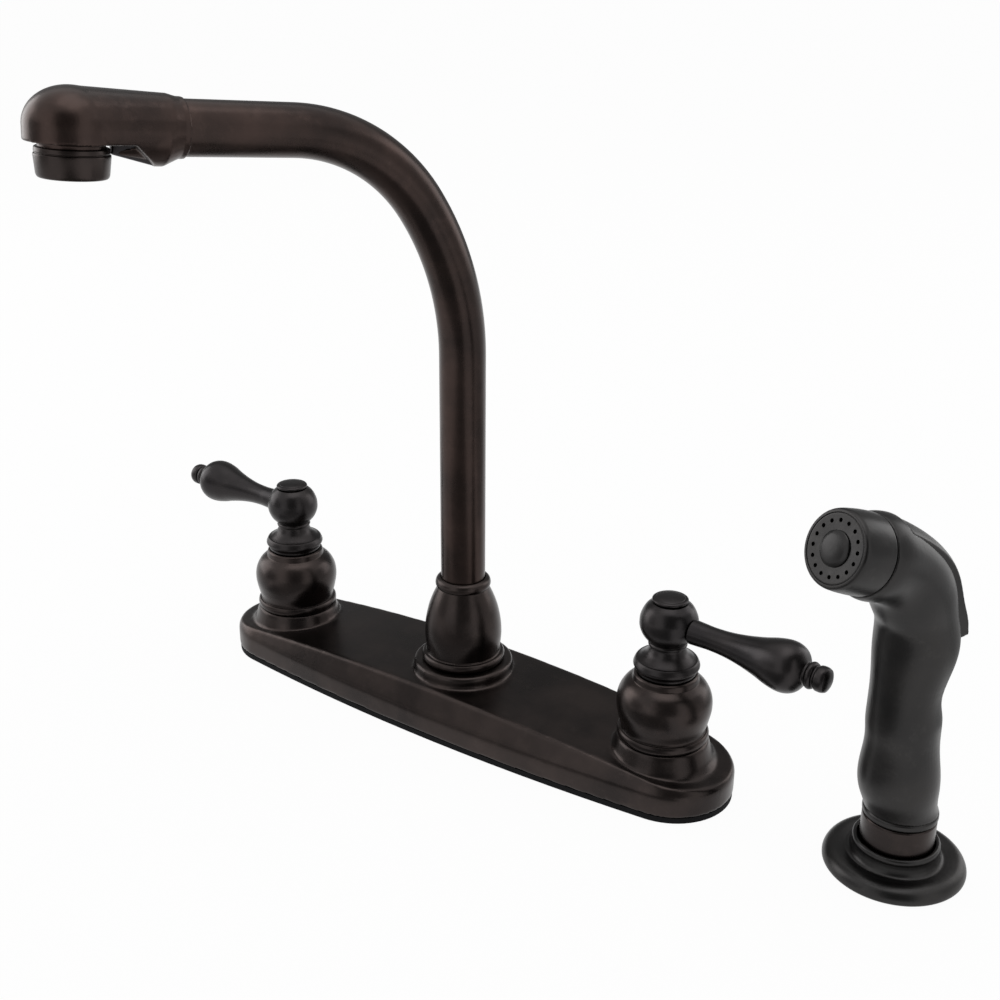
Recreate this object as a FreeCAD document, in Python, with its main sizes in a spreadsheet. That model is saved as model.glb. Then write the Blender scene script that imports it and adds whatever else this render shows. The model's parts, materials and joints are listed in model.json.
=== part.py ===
# Two handle kitchen faucet on an oval deck plate, with a swivel spout and a side sprayer.
# Millimetres, +Z up. The origin is the middle of the gasket's underside, on the sink deck.
# +X runs to the cold handle and the sprayer, -Y to the person at the sink.
import FreeCAD, Part
import Sketcher
import math
import os
from types import SimpleNamespace

Vector = FreeCAD.Vector
Rotation = FreeCAD.Rotation

document = FreeCAD.newDocument("KitchenFaucet")

# ---------------------------------------------------------------- driving sizes

SIZES = {
    # places on the sink deck
    "handle_spacing": 203.2,
    "sprayer_offset": 97.0,
    "deck_thickness": 12.0,
    "spout_swing": 21.0,
    "sprayer_turn": 24.0,
    "sprayer_setback": 6.5,
    "hot_lever_turn": 2.5,
    "cold_lever_turn": 5.0,
    # clearances
    "thread_fit": 0.05,
    "running_fit": 0.08,
    "loose_fit": 0.3,
    "face_gap": 0.05,
    # base gasket and deck plate
    "gasket_thickness": 2.4,
    "gasket_width": 8.0,
    "plate_half_length": 132.1,
    "plate_half_width": 31.3,
    "plate_end_radius": 25.8,
    "plate_edge_height": 9.2,
    "plate_slope_angle": 29.0,
    "plate_crown_height": 21.4,
    "plate_crown_drop": 4.8,
    "plate_wall": 2.0,
    "plate_top_round": 1.2,
    "plate_edge_round": 4.0,
    # raised bosses on the plate
    "side_boss_height": 24.0,
    "side_boss_radius": 18.9,
    "side_boss_base_radius": 20.8,
    "centre_boss_height": 26.7,
    "centre_boss_radius": 22.0,
    "boss_round": 1.6,
    "boss_flare": 2.6,
    "boss_wall": 2.5,
    # valve bodies and the pipes between them
    "shank_radius": 10.4,
    "shank_bore": 7.3,
    "shank_length": 55.0,
    "shank_relief_depth": 1.0,
    "shank_relief_width": 2.0,
    "chest_radius": 14.2,
    "chest_floor": 4.0,
    "chest_clearance": 0.5,
    "shoulder_radius": 15.6,
    "shoulder_thickness": 4.6,
    "barrel_radius": 12.5,
    "barrel_top": 37.2,
    "barrel_bore": 9.8,
    "riser_radius": 6.3,
    "riser_bore": 4.6,
    "riser_top": 21.0,
    "pipe_radius": 4.0,
    "pipe_wall": 0.9,
    "pipe_height": 9.0,
    "pipe_insertion": 3.0,
    # cartridge and ceramic discs
    "seal_thickness": 1.35,
    "disc_radius": 7.5,
    "disc_thickness": 2.95,
    "disc_port_radius": 1.45,
    "disc_port_offset": 2.9,
    "cartridge_sleeve_wall": 1.5,
    "cartridge_hex": 24.0,
    "cartridge_hex_height": 5.0,
    "cartridge_neck_radius": 6.4,
    "cartridge_top": 51.8,
    "stem_radius": 4.6,
    "stem_flange_radius": 7.2,
    "stem_flange_height": 2.8,
    "stem_square": 5.6,
    "stem_top": 67.0,
    "oring_thickness": 1.1,
    "oring_height": 46.2,
    "clip_radius": 5.7,
    "clip_thickness": 0.7,
    # bonnets over the cartridges
    "bonnet_foot_radius": 18.4,
    "bonnet_foot_height": 3.5,
    "bonnet_waist_radius": 16.5,
    "bonnet_waist_height": 28.7,
    "bonnet_belly_radius": 19.2,
    "bonnet_belly_height": 38.8,
    "bonnet_collar_radius": 12.8,
    "bonnet_collar_height": 49.9,
    "bonnet_top": 52.6,
    "bonnet_hole_radius": 7.2,
    "bonnet_wall": 2.6,
    # lever handles
    "handle_gap": 0.6,
    "skirt_radius": 12.1,
    "skirt_bead_radius": 13.3,
    "skirt_bead_height": 56.1,
    "skirt_top_height": 58.7,
    "neck_radius": 7.1,
    "neck_height": 64.4,
    "ball_radius": 11.2,
    "ball_height": 74.5,
    "cap_radius": 7.1,
    "cap_edge_height": 1.5,
    "cap_dome": 0.8,
    "cap_plug_length": 5.0,
    "screw_head_radius": 4.0,
    "screw_head_height": 3.0,
    "screw_radius": 2.0,
    "screw_seat_height": 71.5,
    "screw_length": 12.0,
    "screw_socket": 2.5,
    "lever_height": 73.8,
    "lever_length": 70.0,
    "lever_root_reach": 7.6,
    "lever_root_radius": 4.65,
    "lever_spigot_radius": 3.0,
    "lever_waist_radius": 4.35,
    "lever_waist_reach": 21.0,
    "lever_swell_radius": 9.6,
    "lever_swell_reach": 50.0,
    "lever_neck_radius": 4.3,
    "lever_neck_reach": 60.0,
    "finial_ring_radius": 5.2,
    "finial_ring_width": 2.6,
    "finial_knob_radius": 4.9,
    # spout post, diverter and hose nipple
    "post_chest_radius": 14.5,
    "post_shoulder_radius": 17.2,
    "post_barrel_radius": 14.0,
    "post_barrel_top": 40.5,
    "post_neck_radius": 12.2,
    "post_top": 48.6,
    "post_bore": 9.6,
    "post_bore_floor": 26.0,
    "post_tail_radius": 9.0,
    "post_tail_length": 14.0,
    "outlet_bore": 4.6,
    "chamber_radius": 8.0,
    "diverter_ledge_height": 13.6,
    "diverter_ledge_thickness": 1.4,
    "diverter_ledge_bore": 5.2,
    "diverter_radius": 6.6,
    "diverter_disc_height": 2.2,
    "diverter_seal_height": 1.1,
    "diverter_stem_radius": 2.0,
    "diverter_travel": 2.5,
    "cage_thickness": 2.6,
    "cage_hole_radius": 1.7,
    "nipple_radius": 6.6,
    "nipple_length": 14.0,
    "nipple_hex": 15.0,
    "nipple_hex_height": 4.0,
    "nipple_bore": 3.0,
    # spout hub, swivel and tube
    "hub_foot_radius": 18.1,
    "hub_foot_height": 3.7,
    "hub_waist_radius": 16.1,
    "hub_belly_radius": 16.9,
    "hub_belly_height": 40.0,
    "hub_neck_radius": 11.3,
    "hub_neck_height": 61.0,
    "hub_bead_radius": 12.0,
    "hub_bead_height": 3.8,
    "hub_top": 65.9,
    "hub_shoulder_height": 53.4,
    "swivel_collar_radius": 11.6,
    "swivel_collar_height": 3.0,
    "swivel_bore": 6.9,
    "swivel_spigot_length": 7.0,
    "swivel_oring_thickness": 1.8,
    "swivel_oring_low": 31.5,
    "swivel_oring_step": 7.5,
    "tube_radius": 9.6,
    "tube_wall": 1.25,
    "tube_bend_start": 164.6,
    "tube_first_radius": 114.3,
    "tube_first_angle": 33.4,
    "tube_second_radius": 67.8,
    "tube_second_angle": 52.4,
    "tube_arm_length": 37.6,
    "tube_insertion": 10.0,
    # spout head and aerator, along the arm from the end of the tube's route
    "head_mouth_reach": 3.4,
    "head_lip_reach": 5.6,
    "head_sleeve_reach": 9.0,
    "head_sleeve_radius": 11.2,
    "head_outlet_reach": 40.6,
    "head_block_radius": 15.5,
    "head_dome_height": 12.8,
    "head_blend": 0.12,
    "head_underside": 5.0,
    "head_cut_top_reach": 22.8,
    "head_cut_low_reach": 13.6,
    "head_cut_depth": 12.8,
    "heel_reach": 11.0,
    "heel_end_reach": 24.0,
    "heel_radius": 11.5,
    "heel_drop": 1.3,
    "head_passage_radius": 7.6,
    "bow_start_reach": 13.0,
    "bow_start_drop": 3.2,
    "bow_start_radius": 9.5,
    "bow_end_reach": 27.4,
    "bow_end_drop": 8.4,
    "bow_end_radius": 0.6,
    "nozzle_thread_radius": 11.0,
    "nozzle_bore": 9.5,
    "nozzle_length": 8.5,
    "aerator_gap": 1.6,
    "aerator_length": 10.3,
    "aerator_rim_radius": 12.6,
    "aerator_tip_radius": 11.4,
    "aerator_mouth_radius": 9.2,
    "aerator_washer_thickness": 0.6,
    "aerator_flange_thickness": 1.2,
    "aerator_cup_length": 6.0,
    "aerator_hole_radius": 0.7,
    # fastenings under the deck
    "locknut_hex": 38.0,
    "locknut_height": 8.0,
    "washer_radius": 19.0,
    "washer_thickness": 1.5,
    # sprayer holder
    "holder_flange_radius": 26.3,
    "holder_rim_height": 5.5,
    "holder_valley_radius": 18.6,
    "holder_valley_height": 5.0,
    "holder_ring_radius": 15.9,
    "holder_ring_height": 12.0,
    "holder_seat_height": 2.9,
    "holder_shank_radius": 13.8,
    "holder_bore": 11.3,
    "holder_shank_length": 40.0,
    "holder_nut_radius": 20.0,
    # sprayer
    "wand_collar_radius": 13.6,
    "wand_collar_top": 22.4,
    "wand_ring_radius": 13.8,
    "wand_ring_height": 3.0,
    "wand_start": 25.6,
    "wand_valve_reach": 3.5,
    "coupling_stem_radius": 7.9,
    "coupling_bore": 5.5,
    "coupling_flange_radius": 10.6,
    "coupling_flange_height": 4.0,
    "coupling_tail_radius": 8.6,
    "coupling_tail_length": 14.0,
    "head_seam_reach": 34.8,
    "head_seam_height": 134.9,
    "head_rise": 19.8,
    "head_seam_radius": 14.2,
    "sleeve_length": 14.5,
    "sleeve_front_radius": 13.1,
    "sleeve_wall": 1.2,
    "face_thickness": 1.6,
    "face_hole_radius": 0.65,
    "face_hole_circle": 9.8,
    "button_radius": 5.8,
    "button_height": 1.4,
    "wand_chamber_radius": 8.2,
    "wand_chamber_top": 62.0,
    "valve_seat_bore": 4.2,
    "valve_seat_height": 5.0,
    "upper_chamber_radius": 5.0,
    "upper_chamber_top": 110.0,
    "chamber_link_radius": 3.5,
    "chamber_link_lean": 30.6,
    "chamber_link_length": 25.0,
    "plunger_radius": 2.4,
    "plunger_disc_radius": 6.6,
    "plunger_disc_height": 2.5,
    "spring_radius": 5.2,
    "spring_wire": 0.8,
    "spring_bottom": 34.0,
    "spring_seat_thickness": 2.6,
    "spring_seat_bore": 4.4,
    "trigger_width": 17.0,
    "trigger_side_gap": 0.5,
    "trigger_outer": 0.1,
    "trigger_inner": 5.2,
    "trigger_sink": 6.0,
    "trigger_swing": 6.0,
    "trigger_pin_radius": 1.1,
    "trigger_pin_reach": 18.4,
    "trigger_pin_height": 135.2,
    "plunger_tip_height": 124.1,
    "trigger_end_height": 94.0,
    "trigger_end_gap": 0.8,
    "nozzle_passage_radius": 3.8,
    "nozzle_bore_depth": 5.0,
    "nozzle_bore_wall": 3.2,
    "nozzle_passage_length": 20.5,
    "trigger_front_length": 3.0,
    "trigger_cut_height": 12.0,
    "trigger_slope_drop": 8.0,
    "trigger_slope_reach": 2.0,
    "trigger_pin_overhang": 2.5,
    "spring_turns": 7,
}

# The grip and head of the sprayer: reach towards the nozzle, height, radius and lean of each ring.
WAND_RINGS = [
    ("grip_low", 1.7, 30.0, 13.7, 0.0),
    ("grip_bulge", 3.0, 36.0, 14.5, 2.0),
    ("grip_waist", 4.1, 50.0, 13.6, 3.0),
    ("grip_high", 5.9, 72.0, 12.6, 2.0),
    ("hump_low", 5.6, 81.0, 13.0, -4.0),
    ("hump_high", 4.4, 90.0, 14.4, 0.0),
    ("elbow_low", 5.0, 102.0, 14.3, 8.0),
    ("elbow_middle", 8.0, 112.0, 14.4, 24.0),
    ("elbow_high", 13.5, 121.5, 14.5, 42.0),
    ("elbow_top", 22.0, 129.2, 14.4, 59.0),
]
RING_FIELDS = ("reach", "height", "radius", "lean")

for ring in WAND_RINGS:
    for field, number in zip(RING_FIELDS, ring[1:]):
        SIZES[f"{ring[0]}_{field}"] = number


class Size:
    """A length or an angle: its number, and the sheet expression that gives it."""

    def __init__(self, value, text):
        self.value = float(value)
        self.text = text

    def combined(self, other, sign, result):
        return Size(result, f"({self.text} {sign} {size_of(other).text})")

    def __add__(self, other):
        return self.combined(other, "+", self.value + size_of(other).value)

    def __sub__(self, other):
        return self.combined(other, "-", self.value - size_of(other).value)

    def __mul__(self, other):
        return self.combined(other, "*", self.value * size_of(other).value)

    def __truediv__(self, other):
        return self.combined(other, "/", self.value / size_of(other).value)

    def __radd__(self, other):
        return size_of(other) + self

    def __rsub__(self, other):
        return size_of(other) - self

    def __rmul__(self, other):
        return size_of(other) * self

    def __neg__(self):
        return Size(-self.value, f"(0 - {self.text})")


def size_of(number):
    return number if isinstance(number, Size) else Size(number, repr(float(number)))


def root(size):
    return Size(math.sqrt(size.value), f"sqrt({size.text})")


def sine(angle):
    return Size(math.sin(math.radians(angle.value)), f"sin({angle.text} * 1 deg)")


def cosine(angle):
    return Size(math.cos(math.radians(angle.value)), f"cos({angle.text} * 1 deg)")


def tangent(angle):
    return Size(math.tan(math.radians(angle.value)), f"tan({angle.text} * 1 deg)")


def make_sheet():
    sheet = document.addObject("Spreadsheet::Sheet", "Sizes")
    for row, (alias, number) in enumerate(SIZES.items(), start=1):
        sheet.set(f"A{row}", alias)
        sheet.set(f"B{row}", str(number))
        sheet.setAlias(f"B{row}", alias)
    document.recompute()
    return SimpleNamespace(**{alias: Size(number, f"Sizes.{alias}") for alias, number in SIZES.items()})


size = make_sheet()
parts = {}

# ---------------------------------------------------------------- building helpers


def bind(item, field, number):
    """Sets a property from a size, and ties it to the sheet where the size comes from there."""
    number = size_of(number)
    if "Sizes." in number.text:
        item.setExpression(field, number.text)
    elif "." not in field:
        setattr(item, field, number.value)


def place(item, base=(0, 0, 0), rotation=None):
    numbers = [size_of(number) for number in base]
    item.Placement = FreeCAD.Placement(Vector(*[n.value for n in numbers]), rotation or Rotation())
    for axis, number in zip("xyz", numbers):
        bind(item, f"Placement.Base.{axis}", number)
    return item


def keep(label, item):
    item.Label = label
    parts[label] = item
    return item


def fix_point(sketch, geometry, end, x, y):
    """Ties a point of a sketch to its two distances from the sketch's origin."""
    for kind, number in (("DistanceX", size_of(x)), ("DistanceY", size_of(y))):
        index = sketch.addConstraint(Sketcher.Constraint(kind, geometry, end, number.value))
        if "Sizes." in number.text:
            sketch.setExpression(f"Constraints[{index}]", number.text)


def add_arc(sketch, first, middle, last):
    """Adds the arc through three points. Returns it with its end indexes at first and at last."""
    points = [Vector(size_of(x).value, size_of(y).value, 0) for x, y in (first, middle, last)]
    centre = Part.Arc(*points).toShape().Curve.Center
    angles = [math.atan2(point.y - centre.y, point.x - centre.x) for point in points]
    turn = 2 * math.pi
    counter_clockwise = (angles[1] - angles[0]) % turn < (angles[2] - angles[0]) % turn
    low, high = (angles[0], angles[2]) if counter_clockwise else (angles[2], angles[0])
    circle = Part.Circle(centre, Vector(0, 0, 1), (points[0] - centre).Length)
    arc = sketch.addGeometry(Part.ArcOfCircle(circle, low, high if high > low else high + turn), False)
    marker = sketch.addGeometry(Part.Point(points[1]), True)
    fix_point(sketch, marker, 1, *middle)
    sketch.addConstraint(Sketcher.Constraint("PointOnObject", marker, 1, arc))
    return (arc, 1, 2) if counter_clockwise else (arc, 2, 1)


def draw(sketch, start, moves, closed=True):
    """Draws an outline: each move is an end point, or a point on the arc and its end point."""
    here = start
    pieces = []
    for move in moves:
        if len(move) == 2 and not isinstance(move[0], tuple):
            ends = [Vector(size_of(x).value, size_of(y).value, 0) for x, y in (here, move)]
            pieces.append((sketch.addGeometry(Part.LineSegment(*ends), False), 1, 2))
            target = move
        else:
            target = move[1]
            pieces.append(add_arc(sketch, here, move[0], target))
        fix_point(sketch, pieces[-1][0], pieces[-1][1], *here)
        here = target
    for before, after in zip(pieces, pieces[1:]):
        sketch.addConstraint(Sketcher.Constraint("Coincident", before[0], before[2], after[0], after[1]))
    if closed:
        last, first = pieces[-1], pieces[0]
        sketch.addConstraint(Sketcher.Constraint("Coincident", last[0], last[2], first[0], first[1]))
    else:
        fix_point(sketch, pieces[-1][0], pieces[-1][2], *here)


def new_body(name):
    return document.addObject("PartDesign::Body", name)


def new_sketch(body, name, plane="XZ_Plane"):
    sketch = body.newObject("Sketcher::SketchObject", name)
    role = next(item for item in body.Origin.OriginFeatures if item.Role == plane)
    sketch.AttachmentSupport = (role, [""])
    sketch.MapMode = "FlatFace"
    return sketch


def turned(name, start, moves, base=(0, 0, 0), rotation=None):
    """A body of revolution about its own Z axis, from an outline of radius and height."""
    body = new_body(name)
    sketch = new_sketch(body, f"{name}_outline")
    draw(sketch, start, [*moves, start])
    revolution = body.newObject("PartDesign::Revolution", f"{name}_turning")
    revolution.Profile = sketch
    revolution.ReferenceAxis = (sketch, ["V_Axis"])
    revolution.Angle = 360
    return place(body, base, rotation)


def cylinder(name, radius, low, high, x=0, y=0, rotation=None):
    item = document.addObject("Part::Cylinder", name)
    bind(item, "Radius", radius)
    bind(item, "Height", high - size_of(low))
    return place(item, (x, y, low), rotation)


def ring(name, inner, outer, low, high, base=(0, 0, 0)):
    return turned(name, (inner, low), [(outer, low), (outer, high), (inner, high)], base)


def prism(name, sides, across_flats, low, high, x=0, y=0, turn=0):
    item = document.addObject("Part::Prism", name)
    item.Polygon = sides
    bind(item, "Circumradius", across_flats / (2 * math.cos(math.pi / sides)))
    bind(item, "Height", high - size_of(low))
    return place(item, (x, y, low), Rotation(Vector(0, 0, 1), turn))


def box(name, corner, far_corner):
    item = document.addObject("Part::Box", name)
    for field, near, far in zip(("Length", "Width", "Height"), corner, far_corner):
        bind(item, field, size_of(far) - near)
    return place(item, corner)


def fused(name, *items):
    item = document.addObject("Part::MultiFuse", name)
    item.Shapes = list(items)
    return item


def cut(name, base, *tools):
    item = document.addObject("Part::Cut", name)
    item.Base = base
    item.Tool = tools[0] if len(tools) == 1 else fused(f"{name}_tools", *tools)
    return item


def shared(name, *items):
    item = document.addObject("Part::MultiCommon", name)
    item.Shapes = list(items)
    return item


def crowned(edge_radius, edge_height, top_height):
    """A shallow dome centred on the turning axis: its half way point and its top."""
    edge = size_of(edge_radius)
    rise = top_height - size_of(edge_height)
    sphere = (edge * edge + rise * rise) / (2 * rise)
    half = edge / 2
    return ((half, top_height - sphere + root(sphere * sphere - half * half)), (0, top_height))


def swell(belly_radius, belly_height, end_radius, end_height):
    """The half way point of an arc that leaves a belly upright and ends at a given point."""
    across = belly_radius - size_of(end_radius)
    along = end_height - size_of(belly_height)
    radius = (across * across + along * along) / (2 * across)
    half = along / 2
    return (belly_radius - radius + root(radius * radius - half * half), belly_height + half)


# ---------------------------------------------------------------- shared places

half_spacing = size.handle_spacing / 2
sprayer_x = half_spacing + size.sprayer_offset
sprayer_y = size.sprayer_setback
sides = {"hot": -1, "cold": 1}

side_shelf = size.side_boss_height - size.boss_wall
centre_shelf = size.centre_boss_height - size.boss_wall
disc_low = size.riser_top + size.seal_thickness + size.face_gap
disc_middle = disc_low + size.disc_thickness
disc_high = disc_middle + size.face_gap + size.disc_thickness
flange_low = disc_high + size.face_gap
flange_high = flange_low + size.stem_flange_height
skirt_bottom = size.bonnet_top + size.handle_gap
cap_seat_drop = root(size.ball_radius * size.ball_radius - size.cap_radius * size.cap_radius)
cap_seat = size.ball_height + cap_seat_drop

# ---------------------------------------------------------------- deck plate and gasket


def oval(sketch, half_length, half_width, end_radius):
    """An oval of two long arcs that run into two round ends, drawn about the origin."""
    reach = half_length - size_of(end_radius)
    long_radius = (reach * reach + half_width * half_width - end_radius * end_radius) / (
        2 * (half_width - size_of(end_radius))
    )
    drop = long_radius - half_width
    slant = root(reach * reach + drop * drop)
    join_x = reach + end_radius * reach / slant
    join_y = end_radius * drop / slant
    draw(
        sketch,
        (join_x, join_y),
        [
            ((0, half_width), (-join_x, join_y)),
            ((-half_length, 0), (-join_x, -join_y)),
            ((0, -half_width), (join_x, -join_y)),
            ((half_length, 0), (join_x, join_y)),
        ],
    )


def plate_form(name, inset, edge_height, crown_height, rounded):
    """The plate's solid form: an upright edge, a sloping side, and a top that falls to the ends."""
    outline = (
        size.plate_half_length - inset,
        size.plate_half_width - inset,
        size.plate_end_radius - inset,
    )
    body = new_body(name)
    edge_sketch = new_sketch(body, f"{name}_edge_outline", "XY_Plane")
    oval(edge_sketch, *outline)
    edge = body.newObject("PartDesign::Pad", f"{name}_edge")
    edge.Profile = edge_sketch
    bind(edge, "Length", edge_height)
    slope_sketch = new_sketch(body, f"{name}_slope_outline", "XY_Plane")
    oval(slope_sketch, *outline)
    slope_sketch.AttachmentOffset = FreeCAD.Placement(Vector(0, 0, edge_height.value), Rotation())
    bind(slope_sketch, "AttachmentOffset.Base.z", edge_height)
    slope = body.newObject("PartDesign::Pad", f"{name}_slope")
    slope.Profile = slope_sketch
    bind(slope, "Length", crown_height - edge_height)
    bind(slope, "TaperAngle", -size.plate_slope_angle)
    crown = body.newObject("PartDesign::Pocket", f"{name}_crown")
    crown_sketch = new_sketch(body, f"{name}_crown_outline")
    drop = size.plate_crown_drop
    crown_radius = (half_spacing * half_spacing + drop * drop) / (2 * drop)
    end_x = size.plate_half_length + inset
    end_drop = crown_radius - root(crown_radius * crown_radius - end_x * end_x)
    draw(
        crown_sketch,
        (-end_x, crown_height - end_drop),
        [
            ((0, crown_height), (end_x, crown_height - end_drop)),
            (end_x, crown_height + size.plate_half_width),
            (-end_x, crown_height + size.plate_half_width),
            (-end_x, crown_height - end_drop),
        ],
    )
    crown.Profile = crown_sketch
    crown.Type = "ThroughAll"
    crown.Midplane = True
    body.Tip = crown
    document.recompute()
    if rounded:
        top_edges = []
        edge_edges = []
        for number, item in enumerate(crown.Shape.Edges, start=1):
            middle = item.valueAt((item.FirstParameter + item.LastParameter) / 2)
            if abs(middle.z - edge_height.value) < 1e-3 and item.BoundBox.ZLength < 1e-3:
                edge_edges.append(f"Edge{number}")
            elif item.BoundBox.ZMin > edge_height.value + 1:
                top_edges.append(f"Edge{number}")
        for kind, radius, names in (
            ("top", size.plate_top_round, top_edges),
            ("edge", size.plate_edge_round, edge_edges),
        ):
            base = body.Tip
            if kind == "edge":
                names = [
                    f"Edge{number}"
                    for number, item in enumerate(base.Shape.Edges, start=1)
                    if item.BoundBox.ZLength < 1e-3 and abs(item.BoundBox.ZMin - edge_height.value) < 1e-3
                ]
            fillet = body.newObject("PartDesign::Fillet", f"{name}_{kind}_round")
            fillet.Base = (base, names)
            bind(fillet, "Radius", radius)
            body.Tip = fillet
            document.recompute()
    return place(body, (0, 0, size.gasket_thickness))


def boss_form(name, x, height, radius, base_radius, floor):
    """A raised round seat: flat on top, rounded at its edge, flaring into the plate."""
    top_round = size.boss_round
    middle = floor + size.boss_flare
    return turned(
        name,
        (0, floor),
        [
            (base_radius + size.boss_flare, floor),
            (base_radius, middle),
            (radius, height - top_round),
            ((radius - 0.3 * top_round, height - 0.3 * top_round), (radius - top_round, height)),
            (0, height),
        ],
        (x, 0, 0),
    )


def make_gasket():
    body = new_body("gasket_body")
    sketch = new_sketch(body, "gasket_outline", "XY_Plane")
    for inset in (size.loose_fit, size.loose_fit + size.gasket_width):
        oval(
            sketch,
            size.plate_half_length - inset,
            size.plate_half_width - inset,
            size.plate_end_radius - inset,
        )
    pad = body.newObject("PartDesign::Pad", "gasket_pad")
    pad.Profile = sketch
    bind(pad, "Length", size.gasket_thickness)
    keep("base_gasket", body)


def make_deck_plate():
    crown = size.plate_crown_height - size.gasket_thickness
    outer = plate_form("plate_outer", size_of(0), size.plate_edge_height, crown, True)
    wall_share = size.plate_wall * tangent(size.plate_slope_angle / 2)
    inner = plate_form(
        "plate_inner", size.plate_wall, size.plate_edge_height - wall_share, crown - size.plate_wall, False
    )
    inner_drop = size.face_gap
    place(inner, (0, 0, size.gasket_thickness - inner_drop))
    bosses = []
    hollows = []
    holes = []
    side_floor = size.plate_crown_height - size.plate_crown_drop - size.boss_flare
    centre_floor = size.plate_crown_height - size.boss_flare
    for side, sign in sides.items():
        x = half_spacing * sign
        bosses.append(
            boss_form(
                f"{side}_boss", x, size.side_boss_height, size.side_boss_radius,
                size.side_boss_base_radius, side_floor,
            )
        )
        hollow_radius = size.shoulder_radius + 2 * size.loose_fit
        hollows.append(cylinder(f"{side}_boss_hollow", hollow_radius, size.gasket_thickness, side_shelf, x))
        hole_radius = size.barrel_radius + size.loose_fit
        holes.append(cylinder(f"{side}_boss_hole", hole_radius, 0, size.side_boss_height + 1, x))
    bosses.append(
        boss_form(
            "centre_boss", size_of(0), size.centre_boss_height, size.centre_boss_radius,
            size.centre_boss_radius, centre_floor,
        )
    )
    centre_hollow = size.post_shoulder_radius + 2 * size.loose_fit
    hollows.append(cylinder("centre_boss_hollow", centre_hollow, size.gasket_thickness, centre_shelf))
    centre_hole = size.post_barrel_radius + size.loose_fit
    holes.append(cylinder("centre_boss_hole", centre_hole, 0, size.centre_boss_height + 1))
    solid = fused("plate_solid", outer, *bosses)
    keep("deck_plate", cut("plate_shell", solid, inner, *hollows, *holes))


# ---------------------------------------------------------------- valves


def make_valve_body(side, x, sign):
    """Brass body: threaded shank below the deck, inlet riser, chamber and threaded barrel."""
    relief_top = -(size.deck_thickness + size.washer_thickness + size.locknut_height + 2)
    relief_low = relief_top - size.shank_relief_width
    relief_radius = size.shank_radius - size.shank_relief_depth
    shoulder_low = side_shelf - size.shoulder_thickness
    body = turned(
        f"{side}_valve_turning",
        (size.shank_bore, -size.shank_length),
        [
            (size.shank_radius, -size.shank_length),
            (size.shank_radius, relief_low),
            (relief_radius, relief_low),
            (relief_radius, relief_top),
            (size.shank_radius, relief_top),
            (size.shank_radius, size.chest_clearance),
            (size.chest_radius, size.chest_clearance),
            (size.chest_radius, shoulder_low),
            (size.shoulder_radius, shoulder_low),
            (size.shoulder_radius, side_shelf),
            (size.barrel_radius, side_shelf),
            (size.barrel_radius, size.barrel_top),
            (size.barrel_bore, size.barrel_top),
            (size.barrel_bore, size.chest_floor),
            (size.riser_radius, size.chest_floor),
            (size.riser_radius, size.riser_top),
            (size.riser_bore, size.riser_top),
            (size.riser_bore, -size.chest_floor),
            (size.shank_bore, -2 * size.chest_floor),
        ],
        (x, 0, 0),
    )
    reach = size.chest_radius + 1
    port = cylinder(
        f"{side}_valve_port", size.pipe_radius + size.thread_fit, 0, reach - size.riser_radius - 0.5
    )
    turn = Rotation(Vector(0, 1, 0), -90 * sign)
    place(port, (x - (size.riser_radius + 0.5) * sign, 0, size.pipe_height), turn)
    keep(f"{side}_valve_body", cut(f"{side}_valve_drilled", body, port))


def make_cross_pipe(side, sign):
    """Brass pipe from a valve's chamber to the spout post, under the deck plate."""
    start = size.post_chest_radius - size.pipe_insertion
    end = half_spacing - size.chest_radius + size.pipe_insertion
    pipe = ring(f"{side}_pipe_turning", size.pipe_radius - size.pipe_wall, size.pipe_radius, 0, end - start)
    turn = Rotation(Vector(0, 1, 0), 90 * sign)
    keep(f"{side}_cross_pipe", place(pipe, (start * sign, 0, size.pipe_height), turn))


def make_disc(name, x, low, across):
    """A ceramic disc with two round ports on a line across it."""
    disc = cylinder(f"{name}_blank", size.disc_radius, low, low + size.disc_thickness, x)
    ports = []
    for hand in (-1, 1):
        offset = size.disc_port_offset * hand
        port_x, port_y = (x, offset) if across else (x + offset, 0)
        ports.append(
            cylinder(f"{name}_port", size.disc_port_radius, low - 1, low + size.disc_thickness + 1,
                     port_x, port_y)
        )
    keep(name, cut(f"{name}_bored", disc, *ports))


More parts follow.
